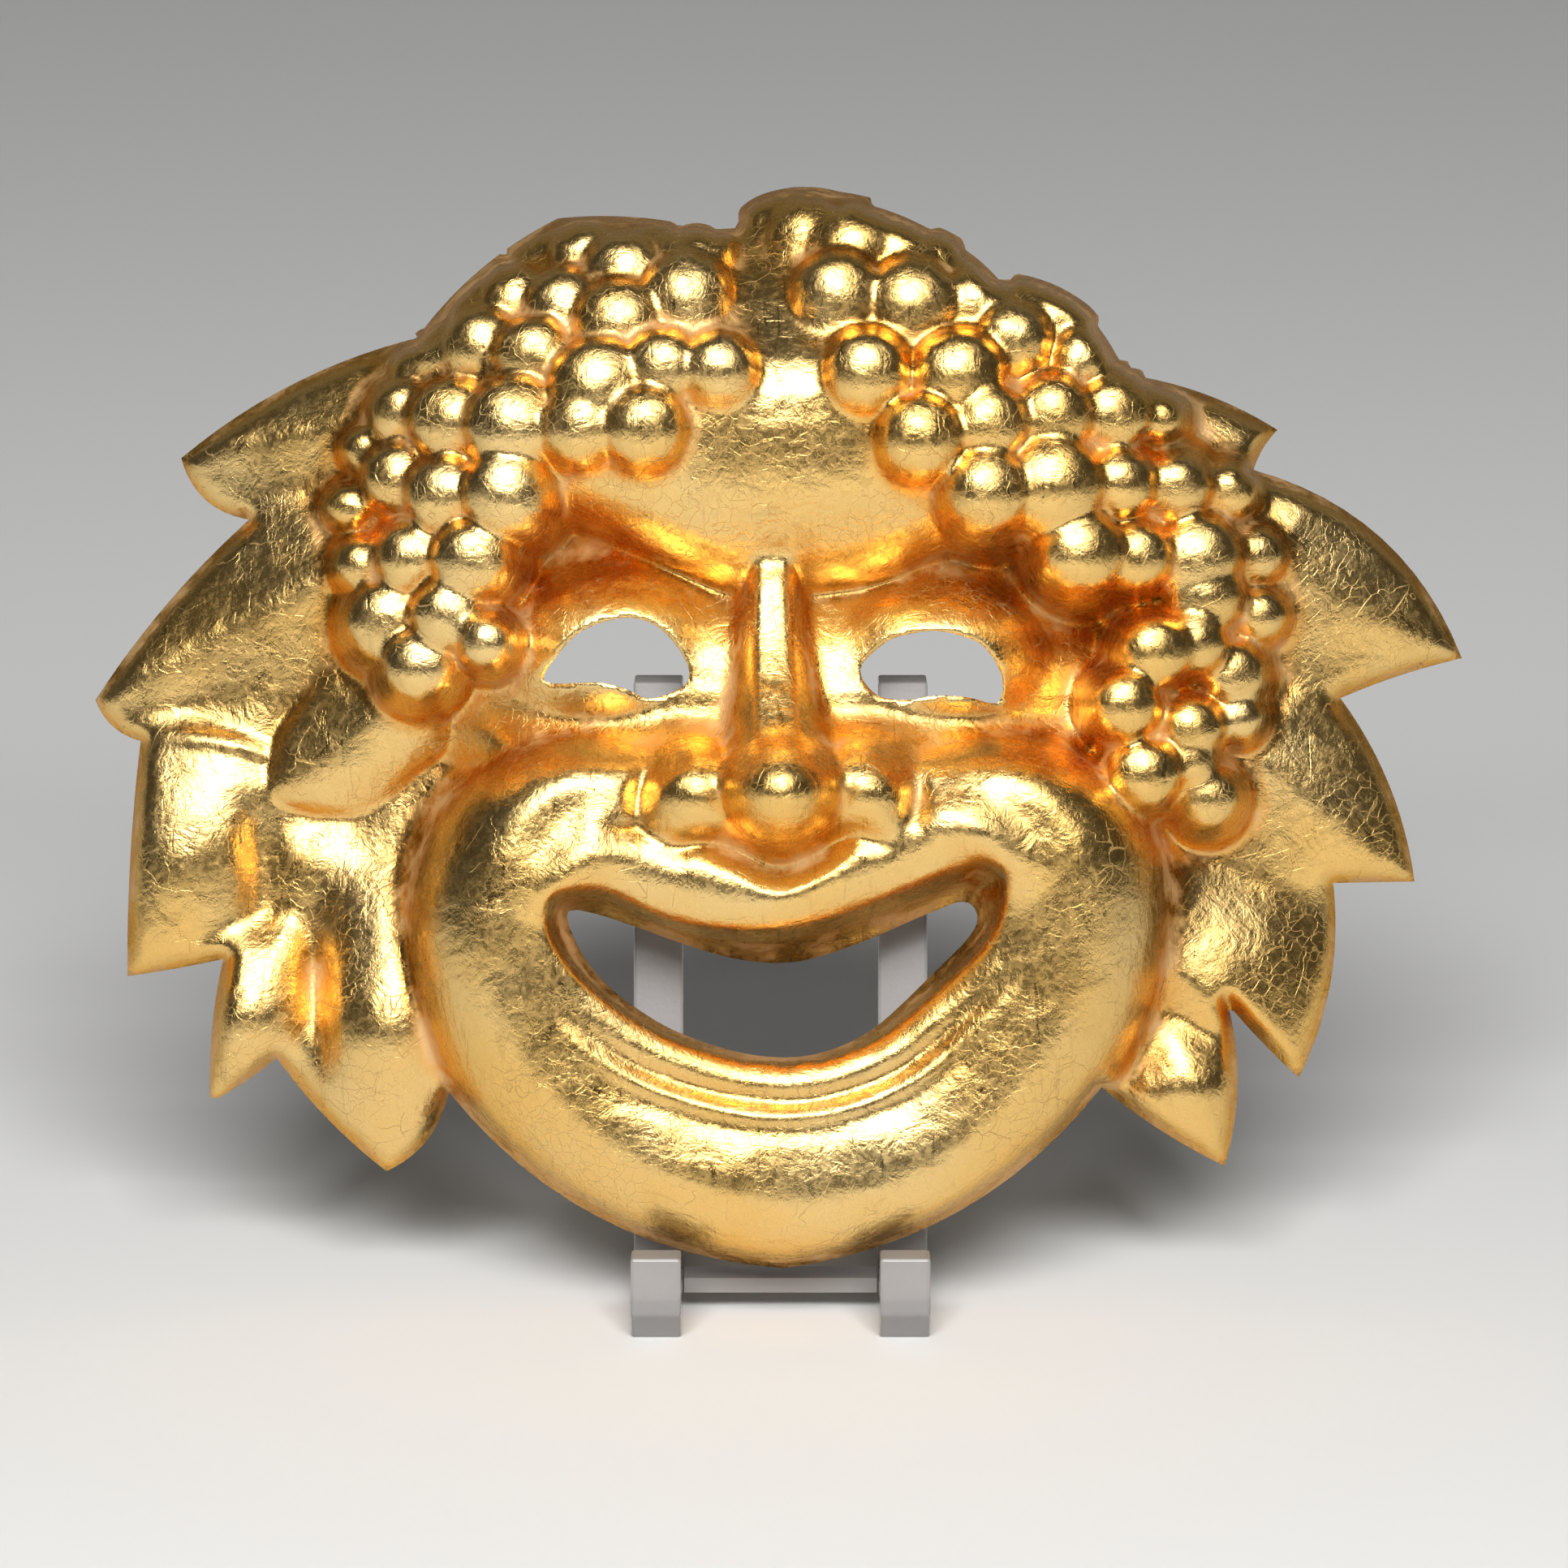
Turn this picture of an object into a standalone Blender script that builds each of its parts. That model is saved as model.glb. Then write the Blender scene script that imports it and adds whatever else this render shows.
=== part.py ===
"""A gilded papier-mache theatre mask with grapes and vine leaves, resting on a clear acrylic easel.

World axes: +X to the viewer's right, +Y to the back, +Z up, origin on the table under the middle of
the whole object. The mask is carved as a relief in its own frame: u to the right, v up, w out
towards the viewer. Its carving is written in shares of its width: every number in the carving
tables is a 280th part of the width.
"""

from math import cos, radians, sin, tan

import bmesh
import bpy
import numpy as np
from mathutils import Vector

# Mask
MASK_WIDTH = 0.280
SHARES = 280
UNIT = MASK_WIDTH / SHARES
WALL = 0.003
VIEW_LIFT = radians(10)  # the carving's w axis looks this far above the horizon
RIM_TILT = 0.16  # how far the rim drops back for each step up
RIM_DROP = 6  # from the leaf tips back to the plane of the rim, in shares
RIM_ROLL = 3.5  # width over which the front turns back to that plane, in shares
FRONT_LIFT = 0.5  # of the front above the wall at the rim, in shares
EYE_AWAY = 1500  # from the eye to the rim, in shares; the relief is drawn in along the lines of sight
GRID_STEP = 1.75  # spacing of the points that are carved, in shares
TRIANGLE_SHARE = 0.165  # part of the carved triangles that is kept
INNER_ROUNDS = 6  # smoothing passes over the inside of the shell

# The rounded head that the grapes lie on: its plan, and the heights down its middle
HEAD = (3, 12, 106, 110, 2.6)  # centre u, v, half width, half height, squareness
CROWN = [(-12, 50), (20, 51), (44, 50.5), (62, 49), (74, 47.2), (84, 44), (91, 39.5), (98, 33), (105, 25),
         (111, 15), (116, 4), (122, -14)]
FOREHEAD = [(40, 31), (44, 34.2), (50, 38.2), (56, 41.2), (62, 43.4), (68, 44.5), (76, 44.9), (84, 43.6),
            (88, 40.6), (94, 34.6), (100, 28.6), (106, 21), (112, 10), (118, -2)]
FOREHEAD_SINK = 1  # how far the forehead lies below the crown
FOREHEAD_SIDES = 0.0035  # how fast the forehead falls away to its sides
GRAPE_SWELL = 1.1  # of the radii in the rows
RIM_BULGE = 1.5  # how far a grape may stand out of the crown's outline
GRAPE_HEIGHT = 0.6  # of a grape's radius, above the bed it lies in
GRAPE_POWER = 0.85  # roundness of a grape: 0.5 is a half ball
SKIN_REACH = 1.15  # width of a grape's foot, of its radius
BED_REACH = 1.15  # width of the bed under a grape, of its radius
BED_RISE = 1.8  # height of the bed above the head
BED_FALL = 7  # how far the bed falls at its edge
NOWHERE = -99.0  # lower than anything
MOUTH_WALL = 14  # depth over which the lips run back to the opening
MOUTH_LEAN = 0.2  # share of that depth taken at the front edge of the lips
SKIRT = 4  # how steeply a roll or lump goes down below its own foot
LUMP_POWER = 0.75  # roundness of a lump: 0.5 is a half ball
LEAF_REACH = 45  # how far from its spine a leaf is carved
RIM_GRAPES = (78, 0.84)  # from this v, or this share of the head's half width, grapes bulge the outline
COLLAR = (4, 142, 108, 17)  # centre v, half width, half height and rise of the ground under the leaves

# Easel
SHEET = 0.010  # acrylic sheet of the two sides
SIDE_SPACING = 0.0495  # between the middles of the two sides
RUNNER_HEIGHT = 0.0075
LIP_HEIGHT = 0.0175
LIP_DEPTH = 0.008
LIP_CHAMFER = 0.006
SLOT = 0.026  # from the lip to the foot of the upright
UPRIGHT_HEIGHT = 0.125
UPRIGHT_DEPTH = 0.010
UPRIGHT_LEAN = radians(8)
TAIL = 0.052  # runner behind the upright
BAR_DEPTH = 0.010
BAR_THICKNESS = 0.003
BAR_LIFT = 0.0042
BAR_AWAY = 0.003  # from the foot of the upright forward to the middle of the bar
MASK_ASIDE = 0.0008  # the mask stands this far right of the easel's middle
SIDE_BEVEL = 0.0006
CLEARANCE = 0.0003

# Outline of the mask: corner u, v and the bulge of the edge that leads to the next corner
OUTLINE = [
    (0.0, -99.3, 7.6), (65.1, -62.2, 0.9), (90.3, -78.3, 2.4), (91.0, -45.1, 0.4),
    (105.6, -60.2, 3.0), (112.6, -20.3, 0.0), (129.3, -20.0, 2.6), (114.1, 17.6, -0.6),
    (139.0, 25.8, 7.2), (96.3, 64.4, -0.6), (101.2, 72.6, 1.8), (70.0, 84.0, 0.8),
    (61.5, 97.0, 1.5), (44.0, 103.5, 0.8), (32.0, 112.5, 1.2), (11.0, 120.0, 1.2),
    (-4.0, 119.5, 0.8), (-10.0, 114.0, -0.2), (-23.0, 113.8, 0.8), (-46.0, 114.5, 2.0),
    (-73.0, 92.0, 3.4), (-123.6, 66.8, 3.0), (-109.7, 54.2, 1.6),
    (-141.2, 17.2, 1.6), (-131.9, 8.8, 0.8), (-134.6, -39.4, 0.2), (-115.0, -35.9, 1.0),
    (-117.6, -65.3, 0.4), (-104.0, -56.2, 1.2), (-81.5, -79.4, 2.6), (-68.7, -63.2, 8.4),
]

OPENINGS = {
    "left_eye": [(-49, 21), (-46, 27), (-41, 31.6), (-33.6, 34), (-28, 33.3), (-23.4, 30), (-19.6, 24),
                (-20.6, 20), (-27.6, 17.5), (-32, 19.3), (-38, 20.8)],
    "right_eye": [(15.6, 23.5), (20.8, 29), (26, 30.8), (31, 31.4), (36, 30.5), (41, 28.2), (44.8, 22),
                 (43.8, 16.6), (37.7, 17.8), (31, 18.1), (25, 17.2), (19, 18.3)],
    "mouth": [(-44.5, -27), (-38, -26.8), (-20, -33), (-9, -36), (2, -36.5), (14, -33.2), (30, -26.4),
              (37.5, -24.2), (39.2, -29.5), (30, -39.4), (18.5, -50), (8, -55), (-2, -56), (-13, -54),
              (-26, -48.7), (-38.6, -38.8)],
}
MOUTH_FRONT = [(-47, -22.5), (-36.5, -22), (-23.8, -28), (-8, -30.2), (3, -29.3), (15, -25.6),
              (29, -19.8), (40, -16.3), (45.5, -20), (42.5, -31.5), (31.5, -42), (20, -51.5),
              (8, -56.2), (-3, -57), (-15, -54.8), (-28, -49.8), (-41.5, -40.2), (-48.5, -30)]

# leaves: the tip and root of the spine, its heights at shares of that way, and how far the
# surface falls to the left and right of it, seen from the tip, and bends as it does
LEAVES = [
    ((90.3, -78.5), (74, -38), [(0, 1), (0.2, 8), (0.42, 12), (0.7, 9), (1, 4)],
     (0.12, 0.45), (-0.012, -0.004)),
    ((106, -60), (76, -33), [(0, 1), (0.3, 8), (0.6, 12), (1, 12)], (0.70, 0.00), (0.004, -0.013)),
    ((129.3, -20), (97, 6), [(0, 1), (0.3, 6), (0.6, 10), (1, 13)], (0.35, 0.22), (0.004, -0.008)),
    ((139, 25.8), (101, 46), [(0, 1), (0.3, 7), (0.6, 12), (1, 17)], (0.28, 0.14), (0.002, -0.009)),
    ((101.2, 72.6), (78, 73), [(0, 0), (0.5, 5), (1, 11)], (0.40, 0.20), (-0.004, -0.004)),
    ((-123.6, 67.6), (-87.5, 74), [(0, 0), (0.3, 5), (0.6, 9), (1, 14)], (0.80, 0.34), (0.006, 0.003)),
    ((-141.2, 17.2), (-94, 42.5), [(0, 0), (0.15, 4), (0.5, 9), (1, 16)], (0.72, 0.32), (0.004, 0.004)),
    ((-134.4, -38.6), (-110, 10), [(0, 1), (0.2, 6), (0.5, 10.5), (0.8, 10), (1, 7)],
     (0.12, 0.10), (-0.010, -0.008)),
    ((-117.6, -65.3), (-101, -25), [(0, 1), (0.2, 7), (0.42, 11), (0.7, 9.5), (1, 5)],
     (0.10, 0.20), (-0.025, -0.02)),
    ((-81.7, -79), (-80, -14), [(0, 1), (0.2, 10), (0.42, 17.5), (0.7, 15.5), (1, 9)],
     (0.05, 0.05), (-0.032, -0.032)),
]
# swellings and grooves of the leaves: points of u, v, amount and width
LEAF_SWELLS = [
    [(-92, -6, 0, 7), (-94.5, -17, 2.4, 8), (-96, -29, 0, 7)],
    [(-95, -28, 0, 3), (-95.5, -40, -5, 3), (-95, -52, -4, 3), (-93, -62, 0, 3)],
    [(-69, -44, 0, 3), (-68.5, -55, 3, 3), (-71, -66, 0, 3)],
    [(-110, 0, 0, 4), (-107, -14, -2.6, 4.5), (-107, -26, -2, 4.5), (-109, -36, 0, 4)],
    [(-131, 9.5, 0, 1.6), (-120, 9.5, 1.6, 1.8), (-108, 7, 1.2, 1.8), (-101, 4, 0, 1.6)],
]

# grapes in rows: first, middle and last centre, and the radii along the row
GRAPE_ROWS = [
    ((-61, 104), (-44, 113), (-31, 114.5), (5.2, 6.6, 6.4, 6.4)),
    ((-25, 112), (-21, 110), (-18, 108), (3.6, 6.4)),
    ((-72, 94), (-53, 99), (-34, 94.5), (3.6, 5.2, 5.8, 6.0, 7.0)),
    ((-41, 108), (-32, 104.5), (-20, 99.5), (5.6, 6.4, 7.4)),
    ((-76, 84.5), (-59, 89.5), (-38, 81.5), (3.6, 4.6, 6.4, 6.2, 8.0)),
    ((-25, 85.5), (-19, 85), (-13, 85), (6.0, 6.0)),
    ((-78, 76), (-55, 73.5), (-28.5, 73), (5.6, 6.8, 8.0, 6.4, 6.8)),
    ((-86, 68.5), (-73, 60), (-57, 59.5), (3.8, 5.6, 6.4, 7.0)),
    ((-89.5, 57), (-88.5, 51), (-87, 45), (3.8, 4.4)),
    ((-76.5, 46.5), (-70, 46), (-64, 46), (5.8, 6.4)),
    ((-81.5, 33), (-70, 35), (-61, 29), (6.8, 5.8, 4.6)),
    ((-75, 24), (-75, 24), (-75, 24), (6.0,)),
    ((-1, 116.3), (5, 118), (11, 118.8), (7.6, 6.4)),
    ((5, 111), (18, 108), (32, 108.8), (6.8, 7.8, 6.0, 4.8)),
    ((11, 100), (31, 98.5), (51, 100), (7.4, 7.4, 5.8, 5.2)),
    ((57, 96.5), (52, 93.5), (47, 91.3), (7.0, 5.8)),
    ((17, 84.5), (27, 85), (36, 83.7), (6.8, 7.4)),
    ((28, 71), (53, 75.5), (77, 75), (7.0, 6.4, 6.4, 6.0, 3.8)),
    ((61.5, 87.5), (65, 85), (69.5, 82.3), (4.8, 4.2)),
    ((41.5, 60), (65, 61.5), (91.5, 60), (7.0, 8.0, 5.8, 5.4, 4.6)),
    ((61, 47.5), (78, 46.5), (97, 47), (6.8, 5.6, 7.0, 4.6)),
    ((86.5, 38.5), (92, 36.5), (98, 34.5), (6.0, 4.4)),
    ((76, 27), (84, 29), (92.5, 22.5), (5.8, 5.2, 5.2)),
    ((70, 16), (77, 13), (83.5, 11.3), (5.6, 5.2)),
    ((74, 2), (80.5, 0), (87, -3), (5.8, 5.2)),
    ((93.5, 13.5), (89, 9), (83.5, 4.7), (4.0, 4.2)),
]

# the face; rolls are points of u, v, top and radius, then how softly they blend in
FACE = {
    "floor": (28, 76, 46),  # centre v, half width and half height of the face under the crown
    # height of the brow's foot, how far it falls at the ends of the brow, and from where to where
    "brow_foot": (16, 56, 50, 60),
    "brow_roll": 10,
    "brow_drop": 7,
    "brow_line": [(-56, 62), (-41, 59.2), (-29.3, 54.2), (-19.3, 49.3), (-8.5, 43.6), (1.5, 43.8),
                 (12.3, 45.9), (22.3, 49.3), (32.3, 53.4), (44, 53.5), (56, 50)],
    # v and height down the eye sockets and cheeks
    "profile": [(60, 16), (50, 18), (44, 20.5), (38, 25), (31, 30.5), (26, 33.5), (20, 35), (14, 35.5),
                (9, 39), (5, 42.5), (0, 47), (-6, 50), (-12, 51), (-24, 48)],
    "profile_sides": 0.0035,
    # round lumps: centre u, v, half width, half height, top, depth, softness
    "eyelids": [(-34, 26.5, 22, 16, 37.5, 13, 3), (31, 26, 22, 15.5, 37.5, 13, 3)],
    # v, middle u, height, half width of the flat ridge and reach of the sides of the nose
    "nose": [(48, -2.4, 34, 4.6, 8), (42, -2.4, 39, 4.8, 9), (36, -2.4, 41.5, 5.2, 10),
             (28, -2.2, 45.5, 5.6, 11), (18, -1.8, 51.5, 6, 13), (8, -1.2, 59.5, 6.4, 16.5),
             (0, -0.8, 65, 7, 20), (-6, -0.6, 65, 7, 21), (-12, -0.6, 60, 6, 19), (-17, -0.6, 50, 4, 14)],
    # as the eyelids, then how far each leans to face downwards
    "nose_lumps": [(-18, -4.5, 12, 12, 57.5, 13, 7, 0.3), (16.5, -4, 12, 12, 57.5, 13, 7, 0.3),
                  (-0.5, -1.5, 11.5, 10.5, 73.5, 13, 5, 0)],
    # the ring of cheeks and chin: u, v, top, width outwards, width inwards
    "cheek_ring": [
        (-24, 0, 47, 8, 8), (-40, -2, 52.5, 13, 16), (-52, -10, 54, 16, 20), (-59, -24, 53.5, 17, 22),
        (-58, -41, 53, 17, 24), (-49, -60, 52.5, 16, 26), (-28, -77, 53, 15, 28), (0, -85, 54, 14, 30),
        (28, -78, 53, 15, 28), (48, -60, 53, 16, 26), (58, -42, 53, 17, 24), (61, -24, 54, 17, 22),
        (57, -10, 54.5, 16, 20), (43, -2, 53, 13, 16), (26, 0, 47, 8, 8),
    ],
    "nose_side": [(20, 4), (0, 6), (-20, 4)],  # closes the ring under the nose
    "ring_depths": (30, 14),
    "ring_fill": 43,
    "upper_lip": [
        (-47, -20, 50, 5), (-35.9, -17.5, 52.5, 8), (-22.6, -19, 54.5, 11), (-11, -20.5, 55.5, 12),
        (-1, -20.5, 56, 12), (12.3, -17, 55.5, 12), (27.3, -12.5, 54.5, 11), (39.8, -10, 53, 8),
        (46.6, -14, 50, 5),
    ],
    # soft swellings and grooves: points of u, v, amount and width
    "swells": [
        [(-46, 43, 0, 3), (-36, 45, 2.2, 3), (-24, 43, 2.4, 3), (-14, 38, 0, 3)],
        [(-44, 38, 0, 2), (-34, 41, -1.4, 2), (-24, 39, -1.4, 2), (-16, 35, 0, 2)],
        [(12, 40, 0, 3), (22, 43.5, 2.4, 3), (34, 44, 2.2, 3), (46, 40, 0, 3)],
        [(14, 36, 0, 2), (22, 39.5, -1.4, 2), (33, 40, -1.4, 2), (43, 37, 0, 2)],
        [(-28, -4, 0, 6), (-36, -12, 3.0, 7), (-44, -20, 3.0, 7), (-51, -30, 0, 7)],
        [(26, -4, 0, 6), (35, -8, 3.0, 7), (44, -14, 3.0, 7), (53, -23, 0, 7)],
        [(-33, 3, 0, 4), (-45, -6, -1.5, 5), (-54, -20, 0, 5)],
        [(31, 4, 0, 4), (44, -3, -1.5, 5), (56, -14, 0, 5)],
        [(-29, -11, 0, 2), (-29.5, -3, -3, 2.4), (-26.5, 3, -3, 2.4), (-19, 6, 0, 2)],
        [(26, -10, 0, 2), (27, -3, -3, 2.4), (24.5, 3.5, -3, 2.4), (18, 6, 0, 2)],
        [(-25, -15, 0, 2.4), (-17, -11.5, -3, 2.6), (-8, -14, -5, 3), (-1, -17, -6, 3.2), (7, -14, -5, 3),
         (15, -10, -3, 2.6), (24, -14, 0, 2.4)],
        [(-11, 2, 0, 2), (-11.5, -4, -1.8, 2.4), (-8, -11, 0, 2)],
        [(10, 2, 0, 2), (10.5, -4, -1.8, 2.4), (7, -11, 0, 2)],
    ],
    "small_leaf": {
        "edge": [(-105.5, -2.5), (-104, 9.5), (-99.5, 16), (-93, 26.5), (-86, 31), (-74, 27), (-68, 10),
                 (-76, 2), (-83, -5.5), (-90, -6.5), (-98, -5.5)],
        "blade": ((-106, -3), (-66, 27), [(0, 8), (0.2, 13), (0.6, 19), (1, 24)], (0.50, 0.15), (0.0, -0.02)),
        "roll": 2.2,
    },
    # steps of the double lower lip: distance out from the mouth, height
    "lip_steps": [(-2, 0), (1.5, 1.2), (5, 0.8), (8, -1.5), (11, 0.5), (14, -0.9), (18, -0.4), (24, 0)],
}


def soft_max(a, b, softness):
    return 0.5 * (a + b + np.sqrt((a - b) ** 2 + softness**2))


def ramp(x, start, end):
    t = np.clip((x - start) / (end - start), 0, 1)
    return t * t * (3 - 2 * t)


def quarter_round(distance, width):
    t = np.clip(distance / width, 0, 1)
    return np.sqrt(1 - (1 - t) ** 2)


def bowed_outline(corners, pieces=12):
    points = []
    for corner, following in zip(corners, corners[1:] + corners[:1]):
        start, end = np.array(corner[:2]), np.array(following[:2])
        along = end - start
        outward = np.array((along[1], -along[0])) / np.hypot(*along)
        for i in range(pieces):
            t = i / pieces
            points.append(start + along * t + outward * corner[2] * 4 * t * (1 - t))
    return np.array(points)


def smooth_curve(points, closed=False, pieces=5):
    """Catmull-Rom through the points; every column is carried along."""
    p = np.array(points, float)
    if closed:
        p = np.vstack([p[-1], p, p[0], p[1]])
    else:
        p = np.vstack([2 * p[0] - p[1], p, 2 * p[-1] - p[-2]])
    out = []
    for a, b, c, d in zip(p, p[1:], p[2:], p[3:]):
        for t in np.arange(pieces) / pieces:
            out.append(0.5 * (2 * b + (c - a) * t + (2 * a - 5 * b + 4 * c - d) * t**2
                              + (3 * b - a - 3 * c + d) * t**3))
    if not closed:
        out.append(p[-2])
    return np.array(out)


def depth_inside(u, v, polygon):
    """Distance to a closed polygon, positive inside it."""
    nearest = np.full(u.shape, 1e9)
    inside = np.zeros(u.shape, bool)
    for (au, av), (bu, bv) in zip(polygon, np.roll(polygon, -1, 0)):
        du, dv = bu - au, bv - av
        t = np.clip(((u - au) * du + (v - av) * dv) / (du * du + dv * dv), 0, 1)
        nearest = np.minimum(nearest, (u - au - t * du) ** 2 + (v - av - t * dv) ** 2)
        if av != bv:
            inside ^= ((av > v) != (bv > v)) & (u < au + (v - av) * du / dv)
    return np.where(inside, 1, -1) * np.sqrt(nearest)


def beside_curve(u, v, curve):
    """Distance to an open curve, its further columns at the nearest point, and the side it lies on."""
    nearest = np.full(u.shape, 1e9)
    columns = np.zeros((curve.shape[1] - 2,) + u.shape)
    side = np.zeros(u.shape)
    for p, q in zip(curve, curve[1:]):
        du, dv = q[0] - p[0], q[1] - p[1]
        t = np.clip(((u - p[0]) * du + (v - p[1]) * dv) / (du * du + dv * dv), 0, 1)
        distance = (u - p[0] - t * du) ** 2 + (v - p[1] - t * dv) ** 2
        closer = distance < nearest
        nearest[closer] = distance[closer]
        side[closer] = np.sign(du * (v - p[1]) - dv * (u - p[0]))[closer]
        for k, column in enumerate(columns):
            column[closer] = (p[2 + k] + (q[2 + k] - p[2 + k]) * t)[closer]
    return np.sqrt(nearest), columns, side


def grape_list():
    """Every grape's centre and radius, set along its row in proportion to the radii."""
    found = []
    for first, middle, last, radii in GRAPE_ROWS:
        first, middle, last = (np.array(p, float) for p in (first, middle, last))
        steps = [0.0]
        for radius, following in zip(radii, radii[1:]):
            steps.append(steps[-1] + radius + following)
        for radius, step in zip(radii, steps):
            t = step / steps[-1] if steps[-1] else 0.0
            centre = first * (1 - t) * (1 - 2 * t) + middle * 4 * t * (1 - t) + last * t * (2 * t - 1)
            found.append((centre[0], centre[1], radius * GRAPE_SWELL))
    return found


def rim_plane(v):
    return -RIM_TILT * v - RIM_DROP


def head_height(u, v):
    """The rounded head: its profile down the middle, drawn out sideways to the rim."""
    u0, v0, half_width, half_height, squareness = HEAD
    profile = smooth_curve(CROWN, pieces=12)
    middle = np.interp(v, profile[:, 0], profile[:, 1])
    narrowing = np.clip(1 - np.abs((v - v0) / half_height) ** squareness, 1e-4, 1) ** (1 / squareness)
    out = np.abs((u - u0) / (half_width * narrowing)) ** squareness
    return rim_plane(v) + (middle - rim_plane(v)) * np.sqrt(np.clip(1 - out, 0, 1))


class Clay:
    """Heights over the points u, v, built up roll by roll."""

    def __init__(self, u, v, heights):
        self.u, self.v, self.heights = u, v, heights

    def near(self, points, reach):
        low = np.min(points, 0)[:2] - reach
        high = np.max(points, 0)[:2] + reach
        found = (self.u > low[0]) & (self.u < high[0]) & (self.v > low[1]) & (self.v < high[1])
        return found, self.u[found], self.v[found]

    def roll(self, points, softness):
        curve = smooth_curve(points)
        found, u, v = self.near(curve, 2 * curve[:, 3].max() + softness)
        distance, (top, radius), _ = beside_curve(u, v, curve)
        out = distance / radius
        crown = np.sqrt(np.clip(1 - out**2, 0, 1)) - 1
        profile = radius * np.where(out < 1, crown, -1 - SKIRT * (out - 1))
        self.heights[found] = soft_max(self.heights[found], top + profile, softness)

    def lump(self, u0, v0, half_width, half_height, top, depth, softness, lean=0.0):
        found, u, v = self.near([(u0, v0)], 2 * max(half_width, half_height))
        out = np.sqrt(((u - u0) / half_width) ** 2 + ((v - v0) / half_height) ** 2)
        crown = np.clip(1 - out**2, 0, 1) ** LUMP_POWER - 1
        profile = depth * np.where(out < 1, crown, -1 - SKIRT * (out - 1)) + lean * (v - v0)
        self.heights[found] = soft_max(self.heights[found], top + profile, softness)

    def swell(self, points):
        curve = smooth_curve(points)
        found, u, v = self.near(curve, 3 * curve[:, 3].max())
        distance, (amount, width), _ = beside_curve(u, v, curve)
        self.heights[found] += amount * np.exp(-((distance / width) ** 2))

    def blade(self, u, v, tip, root, heights, falls, bends):
        """Two facets that meet in a soft ridge from tip to root."""
        du, dv = root[0] - tip[0], root[1] - tip[1]
        length = np.hypot(du, dv)
        along = ((u - tip[0]) * du + (v - tip[1]) * dv) / length**2
        across = (du * (v - tip[1]) - dv * (u - tip[0])) / length
        spine = smooth_curve(heights)
        ridge = np.interp(along, spine[:, 0], spine[:, 1]) + 20 * np.minimum(along, 0)
        fall = np.where(across > 0, falls[0], falls[1]) * (np.sqrt(across**2 + 4) - 2)
        bend = np.where(across > 0, bends[0], bends[1]) * across**2
        return ridge + 1 - RIM_TILT * v - fall + bend

    def leaf(self, tip, root, *form):
        found, u, v = self.near([tip, root], LEAF_REACH)
        self.heights[found] = soft_max(self.heights[found], self.blade(u, v, tip, root, *form), 1.5)

    def petal(self, edge, blade, roll):
        """A leaf laid on the surface, with an edge of its own."""
        found, u, v = self.near(edge, 2)
        inside = quarter_round(depth_inside(u, v, smooth_curve(edge, closed=True, pieces=3)), roll)
        self.heights[found] += (self.blade(u, v, *blade) - self.heights[found]) * inside


def edge_distance(u, v):
    """Positive on the mask; the grapes on the rim bulge its outline."""
    plain = depth_inside(u, v, bowed_outline(OUTLINE))
    depth = plain
    for gu, gv, radius in grape_list():
        if gv > RIM_GRAPES[0] or abs(gu - HEAD[0]) > RIM_GRAPES[1] * HEAD[2]:
            bulge = radius - np.hypot(u - gu, v - gv)
            depth = np.maximum(depth, np.minimum(bulge, plain + RIM_BULGE))
    return depth


def opening_depth(u, v):
    curves = [smooth_curve(points, closed=True) for points in OPENINGS.values()]
    return np.maximum.reduce([depth_inside(u, v, curve) for curve in curves])


def carve(u, v):
    v0, half_width, half_height, rise = COLLAR
    collar = np.clip(1 - (u / half_width) ** 2 - ((v - v0) / half_height) ** 2, -0.3, 1)
    clay = Clay(u, v, rise * collar - 3 - RIM_TILT * v)
    for leaf in LEAVES:
        clay.leaf(*leaf)
    for points in LEAF_SWELLS:
        clay.swell(points)
    carve_forehead(clay)
    clay.petal(**FACE["small_leaf"])
    for lump in FACE["eyelids"]:
        clay.lump(*lump)
    carve_muzzle(clay)
    carve_nose(clay)
    clay.roll(FACE["upper_lip"], 4)
    for points in FACE["swells"]:
        clay.swell(points)
    carve_lower_lip(clay)
    carve_grapes(clay)
    carve_mouth_wall(clay)
    edge = rim_plane(v) + WALL / UNIT + FRONT_LIFT
    above = soft_max(clay.heights - edge, 1.5, 1.0)
    return edge + above * quarter_round(edge_distance(u, v), RIM_ROLL)


def carve_forehead(clay):
    """The floor of the face, the crown, and the forehead whose brow hangs over the floor."""
    u, v, heights = clay.u, clay.v, clay.heights
    v0, half_width, half_height = FACE["floor"]
    inside = ramp(1 - (u / half_width) ** 2 - ((v - v0) / half_height) ** 2, -0.15, 0.30)
    floor = smooth_curve(FACE["profile"][::-1], pieces=12)
    floor = np.interp(v, floor[:, 0], floor[:, 1]) - FACE["profile_sides"] * u**2
    heights = heights * (1 - inside) + floor * inside
    line = smooth_curve(FACE["brow_line"])
    above = v - np.interp(u, line[:, 0], line[:, 1]) + FACE["brow_drop"]
    profile = smooth_curve(FOREHEAD, pieces=12)
    panel = np.interp(v, profile[:, 0], profile[:, 1]) - FOREHEAD_SIDES * u**2
    panel = np.minimum(panel, head_height(u, v) - FOREHEAD_SINK)
    foot_height, foot_fall, fall_start, end = FACE["brow_foot"]
    foot = foot_height - foot_fall * ramp(np.abs(u), fall_start, end)
    brow = soft_max(heights, foot + (panel - foot) * quarter_round(above, FACE["brow_roll"]), 1.0)
    clay.heights = np.where((above > 0) & (np.abs(u) < end + 2), brow, heights)


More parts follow.
